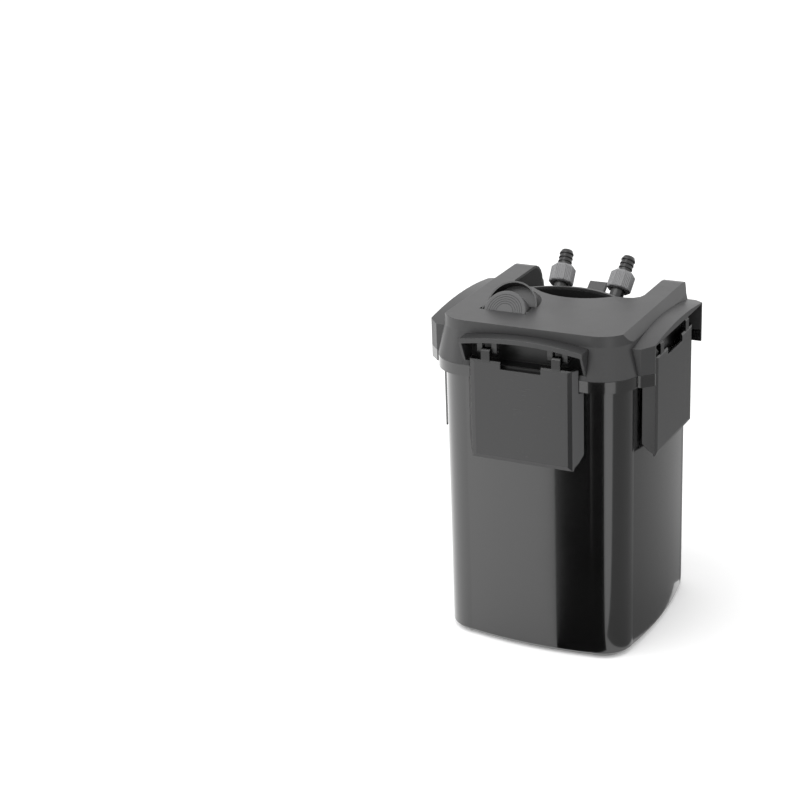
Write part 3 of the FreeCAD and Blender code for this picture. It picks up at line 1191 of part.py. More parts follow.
def make_spigot(name, side):
    """A spigot in its own frame, with the nut's lower end at zero and three barbs above the nut."""
    base = "(seat_near - plug_back)"
    seat_top = f"({base} + seat_thick + seat_fit)"
    neck = "(collar_end - plug_back)"
    shoulder = f"({base} + seal_tall + seal_fit)"
    barbs = []
    for count in (2, 1, 0):
        low = f"(tail_long - barb_step * {count + 1})"
        tip = "tail_tip" if count == 0 else "tail_root"
        barbs.append(("barb_radius", low))
        if count == 0:
            barbs.append(("barb_radius", f"{low} + barb_land"))
        barbs.append((tip, f"{low} + barb_step"))
    points = [
        ("seat_radius + seat_fit", base), ("collar_radius - seal_deep", base),
        ("collar_radius - seal_deep", shoulder),
        ("collar_radius", shoulder), ("collar_radius", neck), ("neck_radius", neck),
        ("neck_radius", "neck_in_nut"),
        ("tail_root", "neck_in_nut"), ("tail_root", "tail_long - barb_step * 3"), *barbs,
        ("tail_bore", "tail_long"),
        ("tail_bore", seat_top), ("seat_radius + seat_fit", seat_top),
    ]
    body = new_body(f"{name}_spigot_body")
    body_turn(body, f"{name}_spigot_form", "Revolution",
              body_sketch(body, f"{name}_spigot_outline", "XZ", points))
    node(f"{name}_spigot", along_spigot(body, side))
    ring = sealing_ring("spigot_ring", "collar_radius + seat_fit - seal_fit",
                        "collar_radius - seal_deep + seal_fit",
                        "seal_tall", base)
    return along_spigot(group("spigot_ring_set", [ring]), side)


def make_nut(name, side):
    """An eight-sided hose nut with three grip ribs on each flat."""
    body = new_body(f"{name}_nut_body")
    form = body.newObject("PartDesign::AdditivePrism", f"{name}_nut_form")
    form.Polygon = NUT_SIDES
    bind(form, Circumradius="nut_radius", Height="nut_long")
    form.Placement = FreeCAD.Placement(V(0, 0, 0), FreeCAD.Rotation(V(0, 0, 1), 180 / NUT_SIDES))
    body.Tip = form
    DOC.recompute()
    bevel = body.newObject("PartDesign::Chamfer", f"{name}_nut_bevel")
    top = size("nut_long")
    bevel.Base = (form, [f"Edge{i}" for i,
                         edge in enumerate(form.Shape.Edges, 1) if edge.BoundBox.ZMin > top - 1e-4])
    bind(bevel, Size="nut_bevel")
    body.Tip = bevel
    bore = "(neck_radius + nut_fit)"
    wide = "(barb_radius + hose_wall)"
    hollow = [("0", "-1"), (bore, "-1"), (bore, "neck_in_nut + nut_fit"), (wide, "neck_in_nut + nut_fit"),
              (wide, "nut_long + 1"), ("0", "nut_long + 1")]
    body_turn(body, f"{name}_nut_bore", "Groove", body_sketch(body, f"{name}_nut_bore_outline", "XZ", hollow))
    flat = f"(nut_radius * cos(180 / {NUT_SIDES}))"
    half = "(nut_rib_wide / 2)"
    pads = []
    for place in (-1, 0, 1):
        centre = f"({place} * nut_rib_step)"
        points = [(f"{flat} - 1", f"{centre} - {half}"), (f"{flat} + nut_rib_out", f"{centre} - {half}"),
                  (f"{flat} + nut_rib_out", f"{centre} + {half}"), (f"{flat} - 1", f"{centre} + {half}")]
        rib_outline = body_sketch(body, f"{name}_rib_outline", "XY", points)
        pads.append(pad(body, f"{name}_rib", rib_outline, "nut_long - nut_bevel"))
    ribs = body.newObject("PartDesign::PolarPattern", f"{name}_ribs")
    ribs.Originals = pads
    ribs.Axis = (next(made for made in body.Origin.OriginFeatures if made.Role == "Z_Axis"), [""])
    ribs.Angle = 360
    ribs.Occurrences = NUT_SIDES
    body.Tip = ribs
    placed = along_spigot(body, side)
    return node(f"{name}_nut", placed)


# baskets, handles, media and lid
def basket_low(count):
    return f"(basket_low + basket_pitch * {count})"


def basket_form(name, inset, low, high, notch):
    points = corner_chords(f"(basket_x - {inset})", f"(basket_y - {inset})", f"(basket_corner - {inset})")
    solid = extrude(name + "_solid", outline(name + "_outline", "XY", points, low), f"({high}) - ({low})")
    hole = rod(name + "_notch", notch, f"({high}) - ({low}) + 2", ("tube_x", "tube_y", f"({low}) - 1"))
    return cut(name, solid, hole)


def floor_slots(name, low, tall):
    count = int(size("(basket_x - basket_corner) / slot_pitch"))
    slots = [box(name, f"{i} * slot_pitch - slot_wide / 2", f"{i} * slot_pitch + slot_wide / 2", "-slot_half",
                 "slot_half", low, f"({low}) + ({tall})") for i in range(-count, count + 1)]
    return slots


def make_basket(count):
    low = basket_low(count)
    high = f"({low} + basket_pitch)"
    outer = basket_form("basket", "0", low, high, "basket_notch")
    inner = basket_form("basket_hollow", "basket_wall", f"{low} + basket_floor", f"{high} + 1",
                        "basket_notch + basket_wall")
    bail_hole = rod("bail_hole", "pivot_radius + pivot_fit", "2 * basket_y + 2",
                    ("0", "-basket_y - 1", f"{high} - bail_drop"),
                    ALONG_Y)
    slots = floor_slots("basket_slot", f"{low} - 1", "basket_floor + 2")
    node(f"media_basket_{count + 1}", cut(f"basket_{count + 1}", outer, inner, bail_hole, *slots))
    half = "(basket_y - basket_wall - bail_gap)"
    bail_points = [
        ("-bail_root", f"-{half}"), ("bail_reach", f"-{half}"), ("bail_reach", half), ("-bail_root", half),
        ("-bail_root", f"{half} - bail_wide"),
        ("bail_reach - bail_wide", f"{half} - bail_wide"),
        ("bail_reach - bail_wide", f"-({half} - bail_wide)"),
        ("-bail_root", f"-({half} - bail_wide)"),
    ]
    mid = f"({high} - bail_drop)"
    strap = extrude("bail_strap", outline("bail_outline", "XY", bail_points, f"{mid} - bail_thick / 2"),
                    "bail_thick")
    pivots = [rod("bail_pivot", "pivot_radius", "basket_wall + bail_gap + pivot_in - pivot_face",
                  ("0", y, mid), ALONG_Y)
              for y in ("-basket_y + pivot_face", "basket_y - basket_wall - bail_gap - pivot_in")]
    node(f"basket_handle_{count + 1}", fuse(f"bail_{count + 1}", strap, *pivots))


def make_media(name, count, tall):
    low = f"({basket_low(count)} + basket_floor)"
    fit = "(basket_wall + bed_fit)"
    bed = basket_form(name + "_bed", fit, low, f"{low} + {tall}", f"basket_notch + {fit}")
    return node(name, bed)


def make_lid():
    low = basket_low(BASKETS)
    plate = basket_form("lid_plate", "0", low, f"{low} + lid_thick", "basket_notch")
    return node("strainer_lid", cut("lid", plate, *floor_slots("lid_slot", f"{low} - 1", "lid_thick + 2")))


def make_gland():
    """A rubber gland on the boss at the rear of the left arm, with a tail of its own length."""
    start = "(gland_face - gland_in)"
    place = ("gland_x", start, "gland_z")
    inner = rod("gland_stem", "gland_radius", "gland_in", place, ALONG_Y, RING_SIDES)
    lip = rod("gland_collar", "gland_seat - 1", "gland_lip", ("gland_x", "gland_face", "gland_z"), ALONG_Y,
              RING_SIDES)
    tail = rod("gland_end", "gland_tip", "gland_tail", ("gland_x", "gland_face", "gland_z"), ALONG_Y,
               RING_SIDES)
    bore = rod("gland_hollow", "gland_bore", "gland_in + gland_tail + 2",
               ("gland_x", f"{start} - 1", "gland_z"), ALONG_Y)
    return node("cable_gland", cut("gland", fuse("gland_whole", inner, lip, tail), bore))


make_canister()
make_feet()
make_head_cover()
make_hood("left_hood", -1)
make_hood("right_hood", 1)
make_visor()
make_knob_collar()
make_tap_bay()
for latch in LATCHES:
    make_latch(latch)
make_pins()
make_head_base()
make_gasket()
make_head_screws()
make_knob()
make_piston()
make_barrel()
make_spring()
make_motor()
make_rotor()
make_shaft()
make_pump_cover()
make_intake()
make_tap_block()
make_plugs()
make_lever()
node("spigot_seals", group("spigot_rings", [make_spigot(name, side) for name, side in SIDES]))
for name, side in SIDES:
    make_nut(name, side)
for level in range(BASKETS):
    make_basket(level)
make_media("coarse_sponge", 0, "bed_tall")
make_media("ceramic_media", 1, "bed_tall")
make_media("fine_floss", 2, "bed_tall")
make_lid()
make_gland()
DOC.recompute()

faults = [made.Name for made in DOC.Objects if "Invalid" in made.State or "Error" in made.State]
for name, made in NODES.items():
    if made.Shape.isNull() or not made.Shape.isValid() or not made.Shape.Solids:
        faults.append(name)
if faults:
    raise RuntimeError("not built: " + ", ".join(faults))
os.makedirs("parts", exist_ok=True)
for name, made in NODES.items():
    made.Shape.exportStep(f"parts/{name}.step")
    print(f"{name}: {len(made.Shape.Solids)} solids, {made.Shape.Volume / 1000:.1f} cm3")
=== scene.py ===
"""Canister filter on a pale floor: finishes for the housing, latches, knob, tap set, pump and media."""

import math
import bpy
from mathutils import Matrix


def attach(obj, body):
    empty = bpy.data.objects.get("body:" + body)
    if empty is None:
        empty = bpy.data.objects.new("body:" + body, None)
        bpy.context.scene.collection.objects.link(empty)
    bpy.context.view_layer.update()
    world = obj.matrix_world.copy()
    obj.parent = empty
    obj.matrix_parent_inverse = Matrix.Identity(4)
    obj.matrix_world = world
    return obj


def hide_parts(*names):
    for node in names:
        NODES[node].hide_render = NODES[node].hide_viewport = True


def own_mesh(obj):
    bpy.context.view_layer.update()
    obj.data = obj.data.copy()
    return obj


bl_info = {
    "name": "Canister Filter",
    "version": (1, 0, 0),
    "blender": (4, 5, 0),
    "location": "View3D > Sidebar > Filter",
    "description": "Dresses the canister filter's frame with finishes, ribbed nuts and a pale studio",
    "category": "Object",
}

import bmesh
import bpy
from bpy.props import FloatProperty, FloatVectorProperty, IntProperty, PointerProperty
from mathutils import Matrix, Vector

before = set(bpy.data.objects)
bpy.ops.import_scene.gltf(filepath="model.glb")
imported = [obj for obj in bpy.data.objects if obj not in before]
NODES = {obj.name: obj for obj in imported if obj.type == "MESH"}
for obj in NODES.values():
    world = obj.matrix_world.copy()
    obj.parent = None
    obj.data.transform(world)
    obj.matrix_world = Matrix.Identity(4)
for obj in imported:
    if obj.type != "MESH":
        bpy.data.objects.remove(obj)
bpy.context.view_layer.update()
MM = 0.001

# places and directions on the object
SPIGOT_FOOT = Vector((34.5, 65.0, 365.0)) * MM
SPIGOT_LEAN = math.radians(42.0)
SPIGOT_SPLAY = math.radians(4.0)
KNOB_FACE = Vector((-45.5, -66.7, 371.5)) * MM
KNOB_TILT = math.radians(55.0)
KNOB_AXIS = (0.0, -math.sin(KNOB_TILT), math.cos(KNOB_TILT))
SPRING_FOOT = Vector((-45.5, -44.5, 355.96)) * MM
DOWN = (0.0, 0.0, -1.0)
FRONT = (0.0, -1.0, 0.0)
FRONT_RIGHT = (math.sqrt(0.5), -math.sqrt(0.5), 0.0)
NUT_FLATS = 8
NUT_STEPS = 48
# a nut along its axis: bevels at foot and top, the recess's floor, and the ends that the ribs leave free
NUT_FOOT_BEVEL = 0.8 * MM
NUT_TOP_BEVEL = 2.5 * MM
NUT_SEAT = 8.1 * MM
RIB_START = 1.0 * MM
RIB_STOP = 3.0 * MM
# turned rings lie between these radii of the knob's face
RINGS_FROM = 8.5 * MM
RINGS_TO = 22.0 * MM

# lamps: name, share of the key's power, place and size in metres
LAMPS = (("overhead", 1.0, (-0.5, -0.7, 1.9), 1.6), ("left_fill", 0.45, (-1.9, -1.0, 0.9), 1.2))
LAMP_AIM = Vector((0.0, 0.0, 0.2))
CAMERA_PLACE = Vector((750.43, -1820.75, 1023.14)) * MM
SENSOR_WIDTH = 36.0
VIEW_REACH = 50.0
FLOOR_REACH = 6.0
FLOOR_TONE = 0.93
# cards on the floor that only the gloss mirrors, painting dark reflections on the canister: name, tone and
# corners in millimetres
CARDS = (("black_card", 0.0, ((32.5, -122.0), (-331.0, -1574.0), (755.0, -1452.0), (98.0, -122.0))),
         ("grey_card", 0.3, ((118.0, -150.0), (1500.0, -1000.0), (2500.0, 300.0), (900.0, 2200.0),
                             (-500.0, 2200.0), (30.0, 121.0), (100.0, 112.0), (116.0, 90.0))))
CARD_HEIGHT = 2.0
# the rooms behind the latch tops, where painted shade makes the mouldings nearly black: lower and upper
# corner in millimetres
FRONT_ROOM = ((-63.0, -140.0, 300.0), (63.0, -96.0, 349.0))
RIGHT_ROOM = ((90.0, -63.0, 300.0), (140.0, 63.0, 349.0))
LEFT_ROOM = ((-140.0, -63.0, 300.0), (-90.0, 63.0, 349.0))
# painted shade also darkens the latch ears, from this height to this far above the room, in millimetres
EARS_FROM = 340.0
EARS_RISE = 20.0

# colours of what the photograph doesn't show
RESIN = (0.01, 0.01, 0.011)
FERRITE = (0.05, 0.05, 0.055)
CERAMIC = (0.85, 0.85, 0.82)
PIN_STEEL = (0.55, 0.55, 0.56)
WIRE_STEEL = (0.5, 0.5, 0.52)
SPONGE_BLUE = (0.04, 0.1, 0.26)
FILL_BEIGE = (0.72, 0.62, 0.48)

# what the finishes have in common: spans of noise, shares of the colour and depths of bumps
NOISE_SPAN = (0.3, 0.7)
CLOUD_SCALE = 14.0
SCUFF_STRETCH = (90.0, 90.0, 900.0)
SCUFF_SPAN = (0.62, 0.78)
SCUFF_ROUGH = 0.08
EDGE_SPAN = (0.995, 0.9)
EDGE_SHARE = 2.2
# painted shade in the rooms behind the latch tops: share of the colour left, and softness of the rooms' walls
DIM_SHARE = 0.08
DIM_SOFT = 3.0 * MM
# painted shade in the knob's grooves: share of the colour at the bottom of a groove
GROOVE_SHADE_SHARE = 0.45
GROOVE_SPAN = (0.55, 1.0)
GRAIN_DEPTH = 0.06 * MM
GROOVE_DEPTH = 0.4 * MM
COAT_ROUGH = 0.06
TOOL_MARK_SCALE = 1500.0
TOOL_MARK_SHARES = (0.85, 1.1)
# painted shade in foam and fill: the hollows of the cells take the first share of the colour, their rims the
# second
CELL_SHADE_SHARES = (0.45, 1.1)


def colour(name, description, level):
    """A grey with a trace of blue."""
    return FloatVectorProperty(name=name, description=description, subtype="COLOR", size=3, min=0.0, max=1.0,
                               default=(level, level, level * 1.02))


def length(name, description, value):
    """A length, with value in millimetres."""
    return FloatProperty(name=name, description=description, default=value * MM, unit="LENGTH", min=0.0,
                         precision=5)


class FilterColours(bpy.types.PropertyGroup):
    """Base colours of the finishes."""
    canister: colour("Canister", "Polished body of the canister", 0.004)
    head: colour("Head", "Satin head cover", 0.028)
    # painted shade: Inside is the near-black that stands in for the shade in the bay, the scoop and the
    # knob's pocket
    inside: colour("Inside", "Black of the bay, the scoop and the knob's pocket", 0.006)
    latch: colour("Latch", "Satin drop latches", 0.02)
    knob: colour("Knob", "Face of the priming knob", 0.07)
    lever: colour("Lever", "Tab of the tap lever", 0.06)
    nut: colour("Nut", "Ribbed hose nuts", 0.2)
    fitting: colour("Fitting", "Spigots and tap block", 0.012)
    inner: colour("Inner", "Moulded parts inside the head", 0.03)
    basket: colour("Basket", "Media baskets and lid", 0.035)
    handle: colour("Handle", "Basket handles", 0.2)
    rubber: colour("Rubber", "Feet, seals and gland", 0.014)
    white: colour("White", "Impeller and seats", 0.7)
    floss: colour("Floss", "Fine filter floss", 0.8)


class FilterSizes(bpy.types.PropertyGroup):
    """Sizes that a user may change."""
    rounding: length("Edge Rounding", "Radius of the softened moulding edges", 0.9)
    grain: FloatProperty(name="Grain", description="Coarseness of the moulded grain, 1 is each finish's own",
                         default=1.0, min=0.1)
    nut_radius: length("Nut Radius", "Radius over the nut's eight corners", 14.0)
    nut_length: length("Nut Length", "Length of a nut along its spigot", 21.5)
    nut_bore: length("Nut Bore", "Radius of the hole at the nut's lower end", 8.1)
    nut_recess: length("Nut Recess", "Radius of the recess for the hose", 9.3)
    rib_width: length("Rib Width", "Width of one grip rib", 1.1)
    rib_pitch: length("Rib Pitch", "Distance between the grip ribs of a flat", 2.0)
    rib_count: IntProperty(name="Ribs", description="Grip ribs on each flat", default=5, min=1)
    ring_pitch: length("Ring Pitch", "Distance between the rings of the priming knob", 2.5)
    spring_radius: length("Spring Radius", "Radius of the priming spring at the middle of its wire", 9.0)
    spring_wire: length("Spring Wire", "Radius of the priming spring's wire", 0.65)
    spring_length: length("Spring Length", "Length of the priming spring at rest", 21.2)
    spring_turns: FloatProperty(name="Spring Turns", description="Turns of the priming spring", default=5.0,
                                min=1.0)


class FilterStage(bpy.types.PropertyGroup):
    """Camera and light of the studio."""
    azimuth: FloatProperty(name="Azimuth", description="Camera's turn about the object", subtype="ANGLE",
                           default=math.radians(27.848))
    elevation: FloatProperty(name="Elevation", description="Camera's height above the horizon",
                             subtype="ANGLE", default=math.radians(21.25))
    roll: FloatProperty(name="Roll", description="Camera's tilt about its own axis", subtype="ANGLE",
                        default=math.radians(-2.382))
    lens: FloatProperty(name="Lens", description="Focal length", default=85.0, unit="CAMERA")
    key: FloatProperty(name="Key", description="Power of the overhead light", default=16.0, unit="POWER")
    world: FloatProperty(name="World", description="Strength of the surrounding light", default=1.0)
    floor: FloatProperty(name="Floor", description="Whiteness that the floor gains where it is seen",
                         default=0.18)


# node helpers
def new_material(name):
    """An empty material and its tree."""
    made = bpy.data.materials.new(name)
    made.use_nodes = True
    tree = made.node_tree
    tree.nodes.clear()
    return made, tree


def add(tree, kind, settings=None, **inputs):
    """A node with its sockets set to numbers or linked from other sockets.

    A socket goes by its label, with _ for a space, or by its place among the inputs, as i0 or i1."""
    made = tree.nodes.new(kind)
    for name, value in (settings or {}).items():
        setattr(made, name, value)
    for name, value in inputs.items():
        label = name.replace("_", " ")
        socket = made.inputs[label] if label in made.inputs else made.inputs[int(name[1:])]
        if isinstance(value, bpy.types.NodeSocket):
            tree.links.new(value, socket)
        else:
            socket.default_value = value
    return made


def maths(tree, operation, *values):
    """The result of one sum on numbers or sockets."""
    places = {f"i{place}": value for place, value in enumerate(values)}
    return add(tree, "ShaderNodeMath", {"operation": operation}, **places).outputs[0]


def vectors(tree, operation, result, *values):
    """The named result of one sum on vectors or sockets."""
    places = {f"i{place}": value for place, value in enumerate(values)}
    return add(tree, "ShaderNodeVectorMath", {"operation": operation}, **places).outputs[result]


def place_in(tree):
    """Coordinates on the piece itself."""
    return add(tree, "ShaderNodeTexCoord").outputs["Object"]


def shade(rgb, share):
    """A colour made lighter or darker."""
    return tuple(min(1.0, part * share) for part in rgb) + (1.0,)


def noise(tree, place, scale, detail=3.0, rough=0.6):
    """Fractal noise from 0 to 1, with scale in cells per metre."""
    made = add(tree, "ShaderNodeTexNoise", Vector=place, Scale=scale, Detail=detail, Roughness=rough)
    return made.outputs["Fac"]


def span(tree, value, low, high, first=0.0, last=1.0):
    """Maps low to high of a value onto first to last, without going past either."""
    return add(tree, "ShaderNodeMapRange", Value=value, From_Min=low, From_Max=high, To_Min=first,
               To_Max=last).outputs["Result"]


def blend(tree, share, first, last):
    """Mixes two colours."""
    return add(tree, "ShaderNodeMix", {"data_type": "RGBA"}, i0=share, i6=first, i7=last).outputs[2]


def facing(tree, direction, low, high):
    """How far a face looks along a direction of its own piece."""
    own = add(tree, "ShaderNodeTexCoord").outputs["Normal"]
    return span(tree, vectors(tree, "DOT_PRODUCT", "Value", own, direction), low, high)


def rings(tree, centre, axis, first, last, pitch):
    """Height of turned rings about an axis between two radii."""
    away = vectors(tree, "SUBTRACT", "Vector", place_in(tree), centre)
    side = vectors(tree, "CROSS_PRODUCT", "Vector", away, axis)
    far = vectors(tree, "LENGTH", "Value", side)
    wave = maths(tree, "COSINE", maths(tree, "MULTIPLY", far, 2 * math.pi / pitch))
    begun = maths(tree, "GREATER_THAN", far, first)
    ended = maths(tree, "LESS_THAN", far, last)
    return maths(tree, "MULTIPLY", span(tree, wave, *GROOVE_SPAN), maths(tree, "MULTIPLY", begun, ended))


def within(tree, low, high, soft):
    """How far a point of its own piece lies inside a box, whose corners are in millimetres."""
    parts = add(tree, "ShaderNodeSeparateXYZ", Vector=place_in(tree)).outputs
    share = 1.0
    for part, first, last in zip(tuple(parts), Vector(low) * MM, Vector(high) * MM):
        begun = span(tree, part, first - soft, first)
        ended = span(tree, part, last + soft, last)
        share = maths(tree, "MULTIPLY", maths(tree, "MULTIPLY", begun, ended), share)
    return share


def close(made, tree, fixed, **linked):
    """Ends a material in its surface: fixed numbers stand on the shader's own sockets."""
    surface = add(tree, "ShaderNodeBsdfPrincipled", **linked)
    for name, value in fixed.items():
        surface.inputs[name].default_value = value
    add(tree, "ShaderNodeOutputMaterial", Surface=surface.outputs[0])
    return made


def plastic(name, rgb, rough, grain=0.0, grain_step=0.7, polish=0.0, level=0.5, wear=0.25, drift=0.12,
            toward=(), dim=(), grooves=None):
    """Moulded plastic: soft drift in tone, spark-eroded grain, fine scuffs and lighter, rounded edges.

    toward lists (direction, low, high, share): faces that look that way take that share of the colour, as
    painted light or shade by how they face.
    dim lists boxes (low corner, high corner) in which painted shade makes the plastic nearly black.
    grooves is (centre, axis, first, last, pitch) of turned rings, pressed in by a bump and darkened with
    painted shade."""
    sizes = bpy.context.scene.filter_sizes
    made, tree = new_material(name)
    place = place_in(tree)
    cloud = noise(tree, place, CLOUD_SCALE)
    speck = noise(tree, place, 1.0 / (grain_step * MM * sizes.grain), detail=2.0)
    stretch = add(tree, "ShaderNodeMapping", Vector=place, Scale=SCUFF_STRETCH).outputs["Vector"]
    scuffs = span(tree, noise(tree, stretch, 1.0, detail=4.0, rough=0.7), *SCUFF_SPAN)
    soft = add(tree, "ShaderNodeBevel", {"samples": 4}, Radius=sizes.rounding).outputs["Normal"]
    true = add(tree, "ShaderNodeNewGeometry").outputs["Normal"]
    edge = span(tree, vectors(tree, "DOT_PRODUCT", "Value", soft, true), *EDGE_SPAN, 0.0, wear)
    tone = blend(tree, cloud, shade(rgb, 1.0 - drift), shade(rgb, 1.0 + drift))
    tone = blend(tree, edge, tone, shade(rgb, EDGE_SHARE))
    # painted light and shade by facing, then painted shade in the boxes
    for direction, low, high, share in toward:
        tone = blend(tree, facing(tree, direction, low, high), tone, shade(rgb, share))
    for low, high in dim:
        tone = blend(tree, within(tree, low, high, DIM_SOFT), tone, shade(rgb, DIM_SHARE))
    even = span(tree, cloud, *NOISE_SPAN, rough * 0.9, rough * 1.1)
    scuffed = maths(tree, "MULTIPLY_ADD", scuffs, SCUFF_ROUGH, even)
    normal = add(tree, "ShaderNodeBump", Height=speck, Strength=grain, Distance=GRAIN_DEPTH,
                 Normal=soft).outputs["Normal"]
    if grooves:
        height = rings(tree, *grooves)
        # painted shade darkens the grooves
        tone = blend(tree, height, tone, shade(rgb, GROOVE_SHADE_SHARE))
        normal = add(tree, "ShaderNodeBump", {"invert": True}, Height=height, Strength=0.8,
                     Distance=GROOVE_DEPTH, Normal=normal).outputs["Normal"]
    fixed = {"Specular IOR Level": level, "Coat Weight": polish, "Coat Roughness": COAT_ROUGH}
    return close(made, tree, fixed, Base_Color=tone, Roughness=scuffed, Normal=normal)


def metal(name, rgb, rough):
    """Drawn or turned metal with fine tool marks."""
    made, tree = new_material(name)
    marks = noise(tree, place_in(tree), TOOL_MARK_SCALE, rough=0.5)
    tone = blend(tree, marks, *(shade(rgb, share) for share in TOOL_MARK_SHARES))
    return close(made, tree, {"Metallic": 1.0}, Base_Color=tone,
                 Roughness=span(tree, marks, *NOISE_SPAN, rough * 0.7, rough * 1.4))


def foam(name, rgb, cell, depth):
    """Open foam, felt or loose fill: cells with a deep bump whose hollows are darkened with painted shade,
    cell and depth in millimetres.
    """
    made, tree = new_material(name)
    holes = add(tree, "ShaderNodeTexVoronoi", Vector=place_in(tree), Scale=1.0 / (cell * MM))
    cells = holes.outputs["Distance"]
    tone = blend(tree, cells, *(shade(rgb, share) for share in CELL_SHADE_SHARES))
    bump = add(tree, "ShaderNodeBump", Height=cells, Strength=0.9, Distance=depth * MM).outputs["Normal"]
    return close(made, tree, {"Roughness": 0.95}, Base_Color=tone, Normal=bump)


def dress(material, *names):
    """Gives CAD nodes a finish."""
    for name in names:
        slots = NODES[name].data.materials
        slots.clear()
        slots.append(material)


def new_piece(name, mesh, body, node):
    """A piece that rides on a body and stands for a CAD node."""
    piece = bpy.data.objects.new(name, mesh)
    bpy.context.scene.collection.objects.link(piece)
    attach(piece, body)
    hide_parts(node)
    return piece


def nut_form(outside, inside):
    """A closed mesh between a many-sided outside and a round inside, each a list of (radius, height)."""
    form = bmesh.new()
    rows = []
    half = math.pi / NUT_FLATS
    for radius, height in outside + inside:
        row = []
        for step in range(NUT_STEPS):
            angle = 2 * math.pi * step / NUT_STEPS
            reach = radius
            if (radius, height) in outside:
                reach = radius * math.cos(half) / math.cos((angle + half) % (2 * half) - half)
            row.append(form.verts.new((reach * math.cos(angle), reach * math.sin(angle), height)))
        rows.append(row)
    for here, after in zip(rows, rows[1:] + rows[:1]):
        for step in range(NUT_STEPS):
            last = (step + 1) % NUT_STEPS
            form.faces.new((here[step], here[last], after[last], after[step]))
    bmesh.ops.recalc_face_normals(form, faces=form.faces)
    mesh = bpy.data.meshes.new("nut")
    form.to_mesh(mesh)
    form.free()
    return mesh


def spigot_place(side):
    """The frame of a spigot: its axis is Z and the nut's lower end is at zero."""
    lean = Matrix.Rotation(-SPIGOT_LEAN, 4, "X") @ Matrix.Rotation(SPIGOT_SPLAY * side, 4, "Y")
    foot = Vector((SPIGOT_FOOT.x * side, SPIGOT_FOOT.y, SPIGOT_FOOT.z))
    return Matrix.Translation(foot) @ lean


# geometry node trees
def shape_tree(name, sizes):
    """A tree with a mesh and named sizes going in and a mesh coming out."""
    tree = bpy.data.node_groups.new(name, "GeometryNodeTree")
    tree.interface.new_socket("Geometry", in_out="INPUT", socket_type="NodeSocketGeometry")
    names = {}
    for label, kind, value in sizes:
        socket = tree.interface.new_socket(label, in_out="INPUT", socket_type=kind)
        socket.default_value = value
        names[label] = socket.identifier
    tree.interface.new_socket("Geometry", in_out="OUTPUT", socket_type="NodeSocketGeometry")
    return tree, names, tree.nodes.new("NodeGroupInput").outputs, tree.nodes.new("NodeGroupOutput")


def round_rod(tree, curve, sides, radius):
    """A mesh of a round bar along a curve, closed at both ends."""
    section = add(tree, "GeometryNodeCurvePrimitiveCircle", Resolution=sides, Radius=radius).outputs["Curve"]
    rod = add(tree, "GeometryNodeCurveToMesh", Curve=curve, Profile_Curve=section, Fill_Caps=True)
    return rod.outputs["Mesh"]


def realized(tree, instances):
    """Real geometry in place of instances."""
    return add(tree, "GeometryNodeRealizeInstances", Geometry=instances).outputs["Geometry"]


def hand_out(tree, geometry, material, result):
    """Ends a tree: the geometry goes out with its finish."""
    finish = add(tree, "GeometryNodeSetMaterial", Geometry=geometry, Material=material)
    tree.links.new(finish.outputs["Geometry"], result.inputs[0])


def coil_tree(material):
    """A round wire wound into an open coil that rises from the origin."""
    tree, names, given, result = shape_tree("wound_spring", (
        ("Turns", "NodeSocketFloat", 5.0), ("Coil Radius", "NodeSocketFloat", 0.009),
        ("Wire Radius", "NodeSocketFloat", 0.00065), ("Length", "NodeSocketFloat", 0.0212)))
    line = add(tree, "GeometryNodeCurveSpiral", Resolution=32, Rotations=given["Turns"],
               Start_Radius=given["Coil Radius"], End_Radius=given["Coil Radius"], Height=given["Length"],
               Reverse=True)
    wire = round_rod(tree, line.outputs["Curve"], sides=12, radius=given["Wire Radius"])
    hand_out(tree, realized(tree, wire), material, result)
    return tree, names


